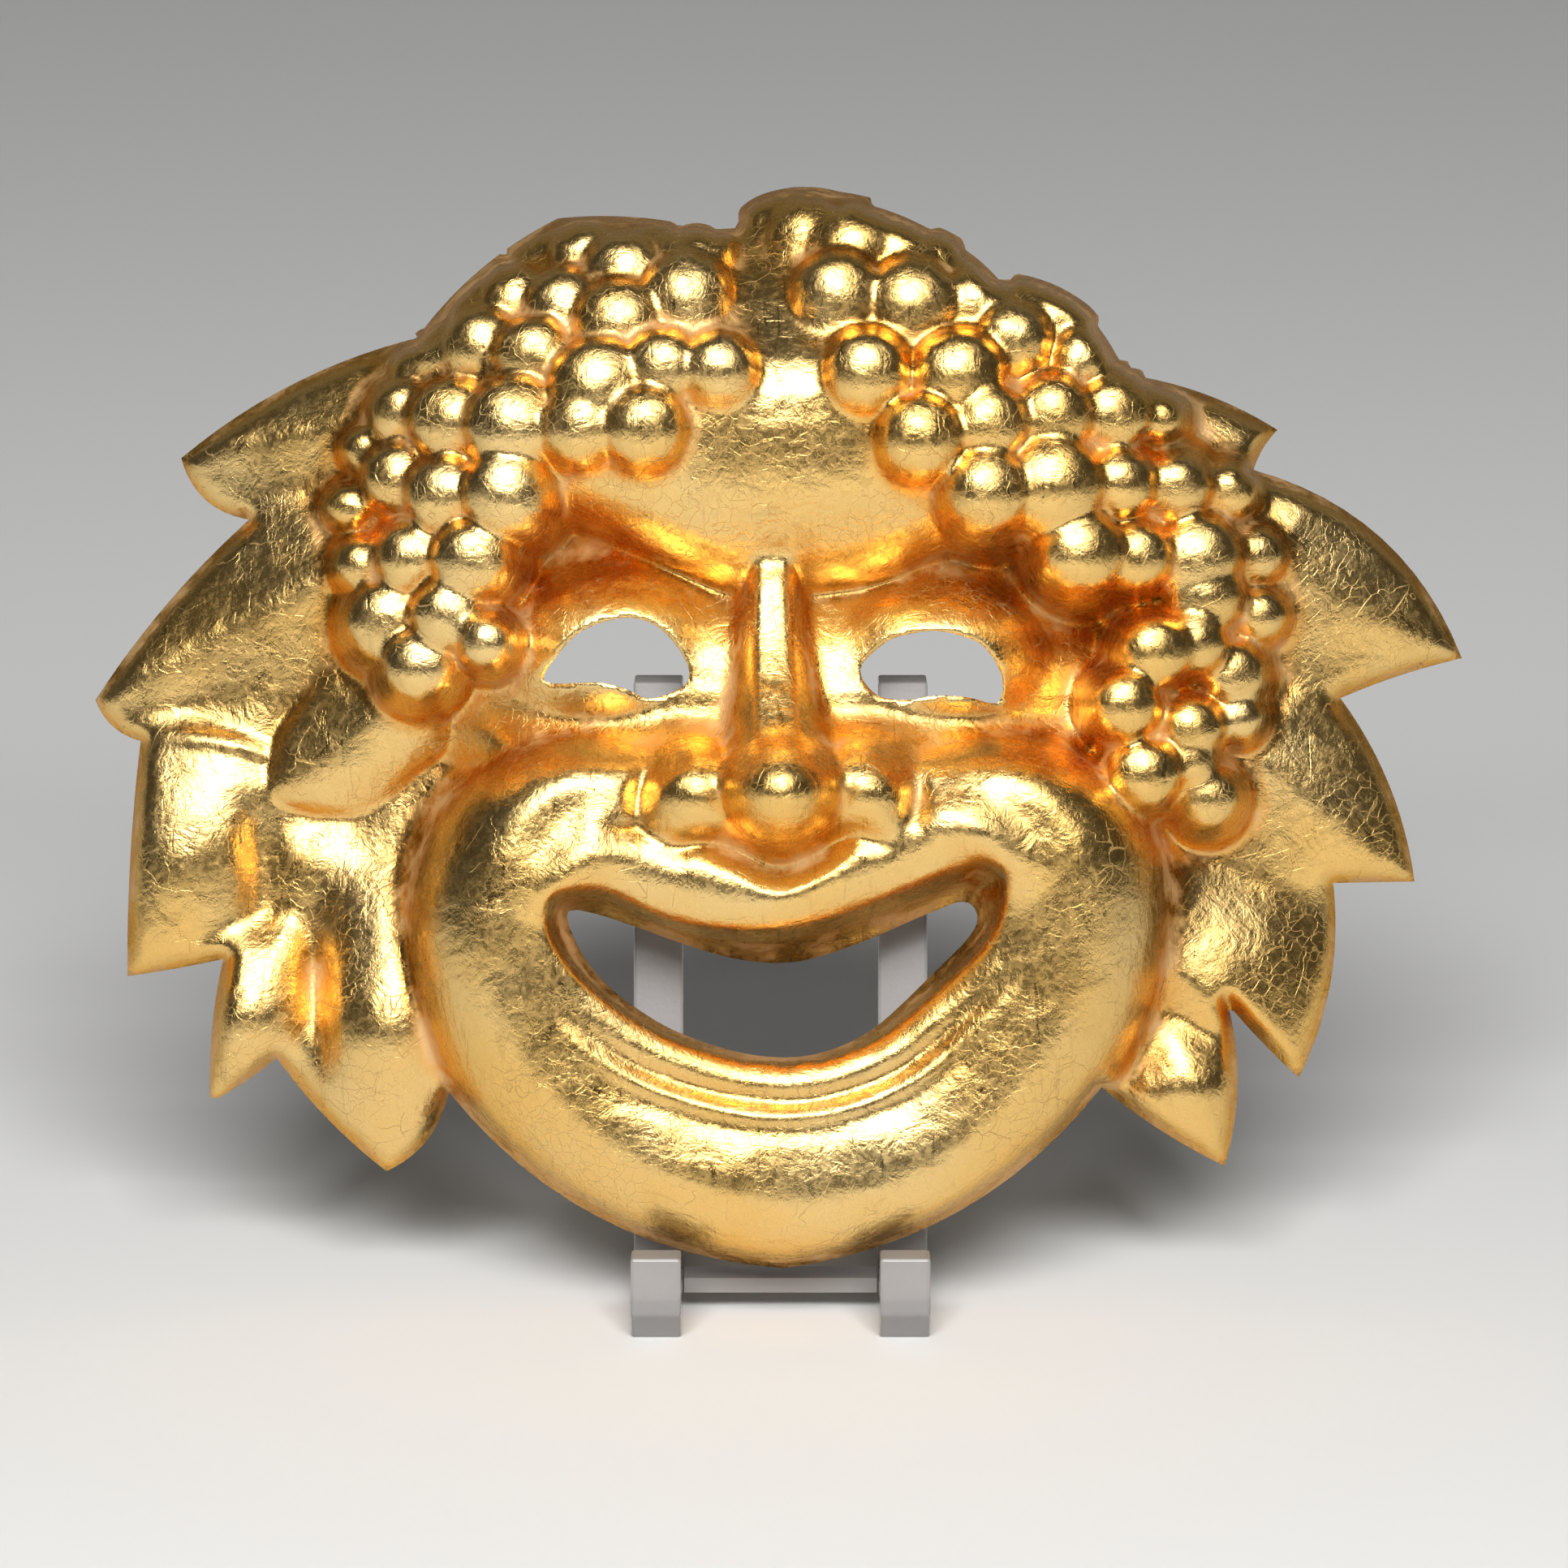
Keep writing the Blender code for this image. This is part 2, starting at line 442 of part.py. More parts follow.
def carve_muzzle(clay):
    """The ring of cheeks and chin with its filled middle and the folds of the smile."""
    curve = smooth_curve(FACE["cheek_ring"])
    distance, (top, outward, inward), side = beside_curve(clay.u, clay.v, curve)
    outer_depth, inner_depth = FACE["ring_depths"]
    out = distance / np.where(side > 0, inward, outward)
    drop = np.where(out < 1, 1 - np.sqrt(np.clip(1 - out**2, 0, 1)), 1 + 2 * (out - 1))
    ring = top - np.where(side > 0, inner_depth, outer_depth) * drop
    clay.heights = soft_max(clay.heights, np.where(out < 2.5, ring, -99), 5)
    around = [point[:2] for point in FACE["cheek_ring"]] + FACE["nose_side"]
    middle = smooth_curve(around, closed=True)
    outside = -depth_inside(clay.u, clay.v, middle)
    fill = FACE["ring_fill"] - 14 * ramp(outside, -12, 0) - 60 * ramp(outside, -2, 6)
    clay.heights = soft_max(clay.heights, fill, 5)


def carve_nose(clay):
    """A ridge with hollow sides that run out into the face."""
    found, u, v = clay.near([(0, 44), (0, -16)], 30)
    sections = smooth_curve(FACE["nose"][::-1], pieces=12)
    middle, height, flat, reach = (np.interp(v, sections[:, 0], sections[:, i]) for i in (1, 2, 3, 4))
    aside = np.abs(u - middle)
    side = 1 - np.exp(-((np.maximum(aside - 0.6 * flat, 0) / (0.55 * reach)) ** 2))
    ridge = height - 0.03 * aside**2 - 34 * side - 3 * np.maximum(aside - 1.4 * reach, 0)
    ridge -= 4 * np.maximum(-17 - v, 0)
    clay.heights[found] = soft_max(clay.heights[found], ridge, 3)
    for lump in FACE["nose_lumps"]:
        clay.lump(*lump)


def carve_lower_lip(clay):
    out = -depth_inside(clay.u, clay.v, smooth_curve(MOUTH_FRONT, closed=True))
    below = ramp(-clay.v, 28, 44) * ramp(54 - np.abs(clay.u), 0, 32)
    steps = smooth_curve(FACE["lip_steps"], pieces=8)
    clay.heights = clay.heights + np.interp(out, steps[:, 0], steps[:, 1]) * below


def carve_grapes(clay):
    """Every grape half sunk in the bed that the cluster lies in."""
    around = head_height(clay.u, clay.v)
    bed = np.full(around.shape, NOWHERE)
    skins = np.full(around.shape, NOWHERE)
    for gu, gv, radius in grape_list():
        found, u, v = clay.near([(gu, gv)], 2.2 * radius)
        distance = np.hypot(u - gu, v - gv)
        seat = max(head_height(np.array(gu), np.array(gv)) + BED_RISE, rim_plane(gv) + 0.5 * radius)
        edge = np.clip(distance / (BED_REACH * radius), 0, 1.6)
        ground = 0.6 * around[found] + 0.4 * seat + BED_RISE - BED_FALL * edge**4
        bed[found] = soft_max(bed[found], ground, 2)
        dome = np.clip(1 - (distance / (SKIN_REACH * radius)) ** 2, 0, 1) ** GRAPE_POWER
        skin = np.where(dome > 0, seat + GRAPE_HEIGHT * radius * dome, NOWHERE)
        skins[found] = np.maximum(skins[found], skin)
    for layer, softness in ((bed, 2), (skins, 1.7)):
        there = layer > 0.5 * NOWHERE
        clay.heights[there] = soft_max(clay.heights[there], layer[there], softness)


def carve_mouth_wall(clay):
    """The lips turn in and run back to the edge of the opening."""
    front = depth_inside(clay.u, clay.v, smooth_curve(MOUTH_FRONT, closed=True))
    back = -depth_inside(clay.u, clay.v, smooth_curve(OPENINGS["mouth"], closed=True))
    way_in = np.clip(front / (front + np.maximum(back, 0) + 1e-6), 0, 1)
    clay.heights -= MOUTH_WALL * (MOUTH_LEAN + (1 - MOUTH_LEAN) * way_in) * ramp(front, 0, 1.2)


def shifted(values, rows, columns, empty):
    """The grid of values moved by whole rows and columns."""
    moved = np.full(values.shape, empty)
    height, width = values.shape
    to = (slice(max(rows, 0), height + min(rows, 0)), slice(max(columns, 0), width + min(columns, 0)))
    source = (slice(max(-rows, 0), height + min(-rows, 0)), slice(max(-columns, 0), width + min(-columns, 0)))
    moved[to] = values[source]
    return moved


def inner_heights(u, v, front, kept, wall):
    """The inside of the shell: one wall behind the front, measured square to it, then smoothed."""
    reach = int(wall / GRID_STEP) + 1
    offset = np.where(kept, front - wall, 1e3)
    around = [(i, j) for i in range(-reach, reach + 1) for j in range(-reach, reach + 1)]
    for i, j in around:
        distance = np.hypot(u - shifted(u, i, j, 1e4), v - shifted(v, i, j, 1e4))
        ball = np.sqrt(np.clip(wall**2 - distance**2, 0, None))
        behind = shifted(np.where(kept, front, 1e3), i, j, 1e3) - ball
        offset = np.where(kept & (distance < wall), np.minimum(offset, behind), offset)
    inner = offset.copy()
    steps = ((0, 1), (1, 0), (0, -1), (-1, 0))
    for _ in range(INNER_ROUNDS):
        total, count = np.zeros(inner.shape), np.zeros(inner.shape)
        for i, j in steps:
            there = shifted(kept.astype(float), i, j, 0.0)
            total += shifted(np.where(kept, inner, 0.0), i, j, 0.0) * there
            count += there
        smoothed = np.where(count > 0, total / np.maximum(count, 1), inner)
        inner = np.minimum(0.4 * inner + 0.6 * smoothed, offset)
    return np.maximum(inner, rim_plane(v))


def along_sight(u, v, w):
    """From the carving's frame to metres, drawn in along the lines of sight, w towards -Y."""
    draw = 1 - (w + RIM_DROP) / EYE_AWAY
    return np.stack([u * draw, -w, v * draw], -1) * UNIT


def snapped_to_edge(u, v, distance, on_edge):
    """Points moved onto the line where the distance is nought."""
    nudge = 0.05
    for _ in range(3):
        here = distance(u[on_edge], v[on_edge])
        slope_u = (distance(u[on_edge] + nudge, v[on_edge]) - here) / nudge
        slope_v = (distance(u[on_edge], v[on_edge] + nudge) - here) / nudge
        steepness = np.maximum(slope_u**2 + slope_v**2, 0.25)
        u[on_edge] -= here * slope_u / steepness
        v[on_edge] -= here * slope_v / steepness
    return u, v


def mask_mesh():
    """The shell: a carved grid in front, its inside behind, joined at the rim and the openings."""
    half_width, low, high = SHARES / 2 + 6, -106, 130
    columns = int(2 * half_width / GRID_STEP) + 1
    rows = int((high - low) / GRID_STEP) + 1
    grid = bmesh.new()
    bmesh.ops.create_grid(grid, x_segments=columns - 1, y_segments=rows - 1, size=0.5)
    flat = np.array([vertex.co for vertex in grid.verts])
    u = (flat[:, 0] * 2 * half_width).reshape(rows, columns)
    v = (low + (flat[:, 1] + 0.5) * (high - low)).reshape(rows, columns)

    def distance(at_u, at_v):
        return np.minimum(edge_distance(at_u, at_v), -opening_depth(at_u, at_v))

    depth = distance(u, v)
    kept = depth > -0.35 * GRID_STEP
    for _ in range(2):
        faces = kept[:-1, :-1] & kept[1:, :-1] & kept[:-1, 1:] & kept[1:, 1:]
        kept = np.zeros(kept.shape, bool)
        for i in (0, 1):
            for j in (0, 1):
                kept[i:rows - 1 + i, j:columns - 1 + j] |= faces
    around = np.zeros(kept.shape, int)
    for i in (0, 1):
        for j in (0, 1):
            around[i:rows - 1 + i, j:columns - 1 + j] += faces
    on_edge = kept & (around < 4)
    u, v = snapped_to_edge(u, v, distance, on_edge)
    place_tips(u, v, on_edge)
    front = carve(u.ravel(), v.ravel()).reshape(u.shape)
    inside = inner_heights(u, v, front, kept, WALL / UNIT)

    points = along_sight(u, v, front).reshape(-1, 3)
    back = along_sight(u, v, inside).reshape(-1, 3)
    numbers = grid.verts.layers.int.new("number")
    for vertex in grid.verts:
        vertex[numbers] = vertex.index
        vertex.co = points[vertex.index]
    bmesh.ops.delete(grid, geom=[f for f in grid.faces if not faces_kept(f, faces, columns, numbers)],
                     context="FACES")
    turn_towards_viewer(grid)
    extruded = bmesh.ops.extrude_face_region(grid, geom=grid.faces[:])["geom"]
    for vertex in (item for item in extruded if isinstance(item, bmesh.types.BMVert)):
        vertex.co = back[vertex[numbers]]
    bmesh.ops.recalc_face_normals(grid, faces=grid.faces[:])
    bmesh.ops.triangulate(grid, faces=grid.faces[:], quad_method="SHORT_EDGE")
    mesh = bpy.data.meshes.new("mask")
    grid.to_mesh(mesh)
    grid.free()
    return mesh


def faces_kept(face, faces, columns, numbers):
    corner = min(vertex[numbers] for vertex in face.verts)
    return bool(faces[corner // columns, corner % columns])


def turn_towards_viewer(grid):
    for face in grid.faces:
        face.normal_update()
    if sum(face.normal.y for face in grid.faces) > 0:
        bmesh.ops.reverse_faces(grid, faces=grid.faces[:])


def place_tips(u, v, on_edge):
    """The rim point nearest to each corner of the outline goes onto the corner."""
    for corner_u, corner_v, _ in OUTLINE:
        away = np.where(on_edge, np.hypot(u - corner_u, v - corner_v), 1e9)
        nearest = np.unravel_index(np.argmin(away), away.shape)
        if away[nearest] < GRID_STEP:
            u[nearest], v[nearest] = corner_u, corner_v


def material(name, colour, roughness, metallic, alpha=1.0):
    made = bpy.data.materials.new(name)
    made.use_nodes = True
    shader = made.node_tree.nodes["Principled BSDF"]
    shader.inputs["Base Color"].default_value = (*colour, 1)
    shader.inputs["Roughness"].default_value = roughness
    shader.inputs["Metallic"].default_value = metallic
    shader.inputs["Alpha"].default_value = alpha
    return made


def add_object(name, mesh, finish, collection):
    made = bpy.data.objects.new(name, mesh)
    made.data.materials.append(finish)
    collection.objects.link(made)
    return made


def make_mask(collection):
    """The shell at the origin of its own frame, with its triangles thinned where it is flat."""
    mask = add_object("mask", mask_mesh(), material("gold_leaf", (0.83, 0.56, 0.20), 0.28, 0.9), collection)
    thin = mask.modifiers.new("Thin", "DECIMATE")
    thin.ratio = TRIANGLE_SHARE
    thin.use_collapse_triangulate = True
    mask.rotation_euler.x = -VIEW_LIFT
    mask.data.shade_smooth()
    return mask


def side_profile():
    """The side of the easel, as y, z points with the upright's foot at y = 0."""
    front = -SLOT - LIP_DEPTH
    rise = (UPRIGHT_HEIGHT - RUNNER_HEIGHT) * tan(UPRIGHT_LEAN)
    across = UPRIGHT_DEPTH / cos(UPRIGHT_LEAN)
    return (
        (front + LIP_CHAMFER, 0), (front, LIP_CHAMFER), (front, LIP_HEIGHT), (-SLOT, LIP_HEIGHT),
        (-SLOT, RUNNER_HEIGHT), (0, RUNNER_HEIGHT), (rise, UPRIGHT_HEIGHT), (rise + across, UPRIGHT_HEIGHT),
        (across, RUNNER_HEIGHT), (across + TAIL, RUNNER_HEIGHT), (across + TAIL, 0),
    )


def make_side(name, x, finish, collection):
    """One side: the profile, extruded through the sheet and with its edges eased."""
    sheet = bmesh.new()
    corners = [sheet.verts.new((-SHEET / 2, y, z)) for y, z in side_profile()]
    face = sheet.faces.new(corners)
    moved = bmesh.ops.extrude_face_region(sheet, geom=[face])["geom"]
    across = [item for item in moved if isinstance(item, bmesh.types.BMVert)]
    bmesh.ops.translate(sheet, vec=(SHEET, 0, 0), verts=across)
    bmesh.ops.recalc_face_normals(sheet, faces=sheet.faces[:])
    mesh = bpy.data.meshes.new(name)
    sheet.to_mesh(mesh)
    sheet.free()
    side = add_object(name, mesh, finish, collection)
    side.location.x = x
    eased = side.modifiers.new("Eased", "BEVEL")
    eased.width = SIDE_BEVEL
    eased.segments = 2
    eased.limit_method = "ANGLE"
    return side


def make_crossbar(finish, collection):
    """The flat bar between the runners, just clear of both."""
    length = SIDE_SPACING - SHEET - 2 * CLEARANCE
    bpy.ops.mesh.primitive_cube_add(size=1, location=(0, -BAR_AWAY, BAR_LIFT + BAR_THICKNESS / 2))
    bar = bpy.context.object
    bar.name = "easel_crossbar"
    bar.scale = (length, BAR_DEPTH, BAR_THICKNESS)
    bpy.ops.object.transform_apply(location=False, rotation=False, scale=True)
    bar.data.materials.append(finish)
    for holder in bar.users_collection:
        holder.objects.unlink(bar)
    collection.objects.link(bar)
    return bar


def seat_on_easel(mask):
    """Set the mask down on the runners and lean its back on the uprights, a clearance off both."""
    mask.location.x = MASK_ASIDE
    bpy.context.view_layer.update()
    shaped = mask.evaluated_get(bpy.context.evaluated_depsgraph_get())
    points = np.array([mask.matrix_world @ vertex.co for vertex in shaped.data.vertices])
    reach = SIDE_SPACING / 2 + SHEET / 2 + 2 * UNIT
    over = points[np.abs(points[:, 0]) < reach]
    lift = RUNNER_HEIGHT + CLEARANCE - over[:, 2].min()
    over[:, 2] += lift
    between = SIDE_SPACING / 2 - SHEET / 2 - UNIT
    held = over[(over[:, 2] < UPRIGHT_HEIGHT + UNIT) & (np.abs(over[:, 0]) > between)]
    upright_front = (held[:, 2] - RUNNER_HEIGHT) * tan(UPRIGHT_LEAN)
    push = (upright_front - CLEARANCE / cos(UPRIGHT_LEAN) - held[:, 1]).min()
    mask.location = Vector((MASK_ASIDE, push, lift))


def centre_on_origin(pieces):
    """Move everything so that the origin is under the middle of the whole."""
    bpy.context.view_layer.update()
    depsgraph = bpy.context.evaluated_depsgraph_get()
    points = np.array([piece.matrix_world @ vertex.co for piece in pieces
                       for vertex in piece.evaluated_get(depsgraph).data.vertices])
    middle = (points.min(0) + points.max(0)) / 2
    for piece in pieces:
        piece.location.x -= middle[0]
        piece.location.y -= middle[1]


def main():
    for old in list(bpy.data.objects):
        bpy.data.objects.remove(old)
    collection = bpy.data.collections.new("venetian_mask")
    bpy.context.scene.collection.children.link(collection)
    acrylic = material("clear_acrylic", (0.80, 0.80, 0.84), 0.12, 0.0, 0.35)
    mask = make_mask(collection)
    left = make_side("easel_side_left", -SIDE_SPACING / 2, acrylic, collection)
    right = make_side("easel_side_right", SIDE_SPACING / 2, acrylic, collection)
    bar = make_crossbar(acrylic, collection)
    seat_on_easel(mask)
    centre_on_origin([mask, left, right, bar])


main()
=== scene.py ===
import math

import bmesh
import bpy
import numpy as np
from mathutils import Matrix, Vector


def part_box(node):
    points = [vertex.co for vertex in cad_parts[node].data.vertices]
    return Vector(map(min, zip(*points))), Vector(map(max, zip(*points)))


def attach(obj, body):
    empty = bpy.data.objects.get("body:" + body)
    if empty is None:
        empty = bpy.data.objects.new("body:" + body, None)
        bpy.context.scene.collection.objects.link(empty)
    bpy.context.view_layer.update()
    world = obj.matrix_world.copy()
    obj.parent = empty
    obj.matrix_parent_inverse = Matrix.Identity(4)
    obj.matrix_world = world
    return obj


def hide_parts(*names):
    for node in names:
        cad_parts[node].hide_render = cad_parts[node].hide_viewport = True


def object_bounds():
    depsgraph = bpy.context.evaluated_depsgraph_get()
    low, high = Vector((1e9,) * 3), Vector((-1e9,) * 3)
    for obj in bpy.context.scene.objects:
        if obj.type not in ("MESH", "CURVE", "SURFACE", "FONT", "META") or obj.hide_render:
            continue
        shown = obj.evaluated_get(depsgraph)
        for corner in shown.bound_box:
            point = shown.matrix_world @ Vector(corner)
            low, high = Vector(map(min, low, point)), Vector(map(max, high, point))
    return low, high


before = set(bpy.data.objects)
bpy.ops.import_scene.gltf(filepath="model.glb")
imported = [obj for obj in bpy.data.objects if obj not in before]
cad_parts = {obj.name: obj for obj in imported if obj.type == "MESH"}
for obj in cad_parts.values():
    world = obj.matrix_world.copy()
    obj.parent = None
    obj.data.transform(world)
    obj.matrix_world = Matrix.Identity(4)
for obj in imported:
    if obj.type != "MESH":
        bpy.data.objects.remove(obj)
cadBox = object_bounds()
print("frame loaded")

# the photographer's view; the carving is laid out along its sight lines
view = {
    "lift": math.radians(10),  # camera above the horizon
    "distance": 1500,  # eye to the rim of the mask, in mm
    "frameWidth": 321.5,  # what the picture spans at the rim, in mm
    "sensor": 36,
}

# the mask: all places are u to the right, v up, w towards the viewer, in mm from the picture's centre
maskForm = {
    "wall": 3.0,
    "rimTilt": 0.16,  # how much the rim leans back for each mm of height
    "rimDrop": 6,  # from the picture's plane back to the rim
    "rimRoll": 3.5,  # width of the rounded edge
    "frontLift": 0.5,  # how far the edge of the front stands over one wall
    "frontRise": 1.5,  # least rise of the front within the rounded edge
    "gridStep": 0.85,
    "gridHalf": 146,
    "gridLow": -106,
    "gridHigh": 130,
    "insideKept": 0.25,  # share of the inside's triangles that stays
    "insideRounds": 12,  # smoothing of the inside
    "hollowRounds": 30,  # smoothing that hollows are told from, and their full depth
    "hollowDepth": 2.0,
    "head": (3, 12, 106, 110, 2.6),  # centre u, v, half width, half height, squareness
    "collar": (4, 142, 108, 17),  # centre v, half width, half height, rise of the ground under the leaves
    # v and height of the crown along its middle, and of the forehead in it
    "crown": [(-12, 50), (20, 51), (44, 50.5), (62, 49), (74, 47.2), (84, 44), (91, 39.5), (98, 33),
              (105, 25), (111, 15), (116, 4), (122, -14)],
    "forehead": [(40, 31), (44, 34.2), (50, 38.2), (56, 41.2), (62, 43.4), (68, 44.5), (76, 44.9),
                 (84, 43.6), (88, 40.6), (94, 34.6), (100, 28.6), (106, 21), (112, 10), (118, -2)],
    "foreheadSides": 0.0035,
    "foreheadSink": 1,  # how far the forehead lies below the crown
    "grapeSwell": 1.1,  # over the radii that the rows give
    "rimGrapes": (78, 0.84),  # from this v, or this share of the head's half width, they bulge the rim
    "rimBulge": 1.5,  # how far a grape may stand out of the crown's outline
    "grapeHeight": 0.6,  # of a grape's radius, above the bed it lies in
    "grapePower": 0.85,  # the lower, the fuller the dome
    "bedRise": 1.8,  # height of the grapes' bed above the head
    "bedFall": 7,  # at the full reach of the bed
    # how far from a grape's middle its bed falls away and its skin ends, in its own radii
    "bedReach": 1.3,
    "skinReach": 1.15,
    "lumpPower": 0.75,  # as grapePower, for the round lumps of the face
    "leafReach": 45,  # how far from its spine a leaf is carved
    "dents": ((13, 0.35), (6, 0.16)),  # size and depth of the hand-made unevenness
    "mouthWall": 14,  # how far the lips run back
    "mouthLean": 0.2,  # share of that which comes at once
    "nowhere": -99.0,  # height where a form is absent
}

# corner u, v and the bulge of the edge to the next corner
outline = [
    (0.0, -99.3, 7.6), (65.1, -62.2, 0.9), (90.3, -78.3, 2.4), (91.0, -45.1, 0.4),
    (105.6, -60.2, 3.0), (112.6, -20.3, 0.0), (129.3, -20.0, 2.6), (114.1, 17.6, -0.6),
    (139.0, 25.8, 7.2), (96.3, 64.4, -0.6), (101.2, 72.6, 1.8), (70.0, 84.0, 0.8),
    (61.5, 97.0, 1.5), (44.0, 103.5, 0.8), (32.0, 112.5, 1.2), (11.0, 120.0, 1.2),
    (-4.0, 119.5, 0.8), (-10.0, 114.0, -0.2), (-23.0, 113.8, 0.8), (-46.0, 114.5, 2.0),
    (-73.0, 92.0, 3.4), (-123.6, 66.8, 3.0), (-109.7, 54.2, 1.6),
    (-141.2, 17.2, 1.6), (-131.9, 8.8, 0.8), (-134.6, -39.4, 0.2), (-115.0, -35.9, 1.0),
    (-117.6, -65.3, 0.4), (-104.0, -56.2, 1.2), (-81.5, -79.4, 2.6), (-68.7, -63.2, 8.4),
]

openings = {
    "leftEye": [(-49, 21), (-46, 27), (-41, 31.6), (-33.6, 34), (-28, 33.3), (-23.4, 30), (-19.6, 24),
                (-20.6, 20), (-27.6, 17.5), (-32, 19.3), (-38, 20.8)],
    "rightEye": [(15.6, 23.5), (20.8, 29), (26, 30.8), (31, 31.4), (36, 30.5), (41, 28.2), (44.8, 22),
                 (43.8, 16.6), (37.7, 17.8), (31, 18.1), (25, 17.2), (19, 18.3)],
    "mouth": [(-44.5, -27), (-38, -26.8), (-20, -33), (-9, -36), (2, -36.5), (14, -33.2), (30, -26.4),
              (37.5, -24.2), (39.2, -29.5), (30, -39.4), (18.5, -50), (8, -55), (-2, -56), (-13, -54),
              (-26, -48.7), (-38.6, -38.8)],
}
mouthFront = [(-47, -22.5), (-36.5, -22), (-23.8, -28), (-8, -30.2), (3, -29.3), (15, -25.6),
              (29, -19.8), (40, -16.3), (45.5, -20), (42.5, -31.5), (31.5, -42), (20, -51.5),
              (8, -56.2), (-3, -57), (-15, -54.8), (-28, -49.8), (-41.5, -40.2), (-48.5, -30)]

# leaves: the tip and root of the spine, its heights at shares of that way, and how far the
# surface falls to the left and right of it, seen from the tip, and bends as it does
leaves = [
    ((90.3, -78.5), (74, -38), [(0, 1), (0.2, 8), (0.42, 12), (0.7, 9), (1, 4)],
     (0.12, 0.45), (-0.012, -0.004)),
    ((106, -60), (76, -33), [(0, 1), (0.3, 8), (0.6, 12), (1, 12)], (0.70, 0.00), (0.004, -0.013)),
    ((129.3, -20), (97, 6), [(0, 1), (0.3, 6), (0.6, 10), (1, 13)], (0.35, 0.22), (0.004, -0.008)),
    ((139, 25.8), (101, 46), [(0, 1), (0.3, 7), (0.6, 12), (1, 17)], (0.28, 0.14), (0.002, -0.009)),
    ((101.2, 72.6), (78, 73), [(0, 0), (0.5, 5), (1, 11)], (0.40, 0.20), (-0.004, -0.004)),
    ((-123.6, 67.6), (-87.5, 74), [(0, 0), (0.3, 5), (0.6, 9), (1, 14)], (0.80, 0.34), (0.006, 0.003)),
    ((-141.2, 17.2), (-94, 42.5), [(0, 0), (0.15, 4), (0.5, 9), (1, 16)], (0.72, 0.32), (0.004, 0.004)),
    ((-134.4, -38.6), (-110, 10), [(0, 1), (0.2, 6), (0.5, 10.5), (0.8, 10), (1, 7)],
     (0.12, 0.10), (-0.010, -0.008)),
    ((-117.6, -65.3), (-101, -25), [(0, 1), (0.2, 7), (0.42, 11), (0.7, 9.5), (1, 5)],
     (0.10, 0.20), (-0.025, -0.02)),
    ((-81.7, -79), (-80, -14), [(0, 1), (0.2, 10), (0.42, 17.5), (0.7, 15.5), (1, 9)],
     (0.05, 0.05), (-0.032, -0.032)),
]
# swellings and grooves of the leaves: points of u, v, amount and width
leafSwells = [
    [(-92, -6, 0, 7), (-94.5, -17, 2.4, 8), (-96, -29, 0, 7)],
    [(-95, -28, 0, 3), (-95.5, -40, -5, 3), (-95, -52, -4, 3), (-93, -62, 0, 3)],
    [(-69, -44, 0, 3), (-68.5, -55, 3, 3), (-71, -66, 0, 3)],
    [(-110, 0, 0, 4), (-107, -14, -2.6, 4.5), (-107, -26, -2, 4.5), (-109, -36, 0, 4)],
    [(-131, 9.5, 0, 1.6), (-120, 9.5, 1.6, 1.8), (-108, 7, 1.2, 1.8), (-101, 4, 0, 1.6)],
]

# grapes in rows: first, middle and last centre, and the radii along the row
grapeRows = [
    ((-61, 104), (-44, 113), (-31, 114.5), (5.2, 6.6, 6.4, 6.4)),
    ((-25, 112), (-21, 110), (-18, 108), (3.6, 6.4)),
    ((-72, 94), (-53, 99), (-34, 94.5), (3.6, 5.2, 5.8, 6.0, 7.0)),
    ((-41, 108), (-32, 104.5), (-20, 99.5), (5.6, 6.4, 7.4)),
    ((-76, 84.5), (-59, 89.5), (-38, 81.5), (3.6, 4.6, 6.4, 6.2, 8.0)),
    ((-25, 85.5), (-19, 85), (-13, 85), (6.0, 6.0)),
    ((-78, 76), (-55, 73.5), (-28.5, 73), (5.6, 6.8, 8.0, 6.4, 6.8)),
    ((-86, 68.5), (-73, 60), (-57, 59.5), (3.8, 5.6, 6.4, 7.0)),
    ((-89.5, 57), (-88.5, 51), (-87, 45), (3.8, 4.4)),
    ((-76.5, 46.5), (-70, 46), (-64, 46), (5.8, 6.4)),
    ((-81.5, 33), (-70, 35), (-61, 29), (6.8, 5.8, 4.6)),
    ((-75, 24), (-75, 24), (-75, 24), (6.0,)),
    ((-1, 116.3), (5, 118), (11, 118.8), (7.6, 6.4)),
    ((5, 111), (18, 108), (32, 108.8), (6.8, 7.8, 6.0, 4.8)),
    ((11, 100), (31, 98.5), (51, 100), (7.4, 7.4, 5.8, 5.2)),
    ((57, 96.5), (52, 93.5), (47, 91.3), (7.0, 5.8)),
    ((17, 84.5), (27, 85), (36, 83.7), (6.8, 7.4)),
    ((28, 71), (53, 75.5), (77, 75), (7.0, 6.4, 6.4, 6.0, 3.8)),
    ((61.5, 87.5), (65, 85), (69.5, 82.3), (4.8, 4.2)),
    ((41.5, 60), (65, 61.5), (91.5, 60), (7.0, 8.0, 5.8, 5.4, 4.6)),
    ((61, 47.5), (78, 46.5), (97, 47), (6.8, 5.6, 7.0, 4.6)),
    ((86.5, 38.5), (92, 36.5), (98, 34.5), (6.0, 4.4)),
    ((76, 27), (84, 29), (92.5, 22.5), (5.8, 5.2, 5.2)),
    ((70, 16), (77, 13), (83.5, 11.3), (5.6, 5.2)),
    ((74, 2), (80.5, 0), (87, -3), (5.8, 5.2)),
    ((93.5, 13.5), (89, 9), (83.5, 4.7), (4.0, 4.2)),
]

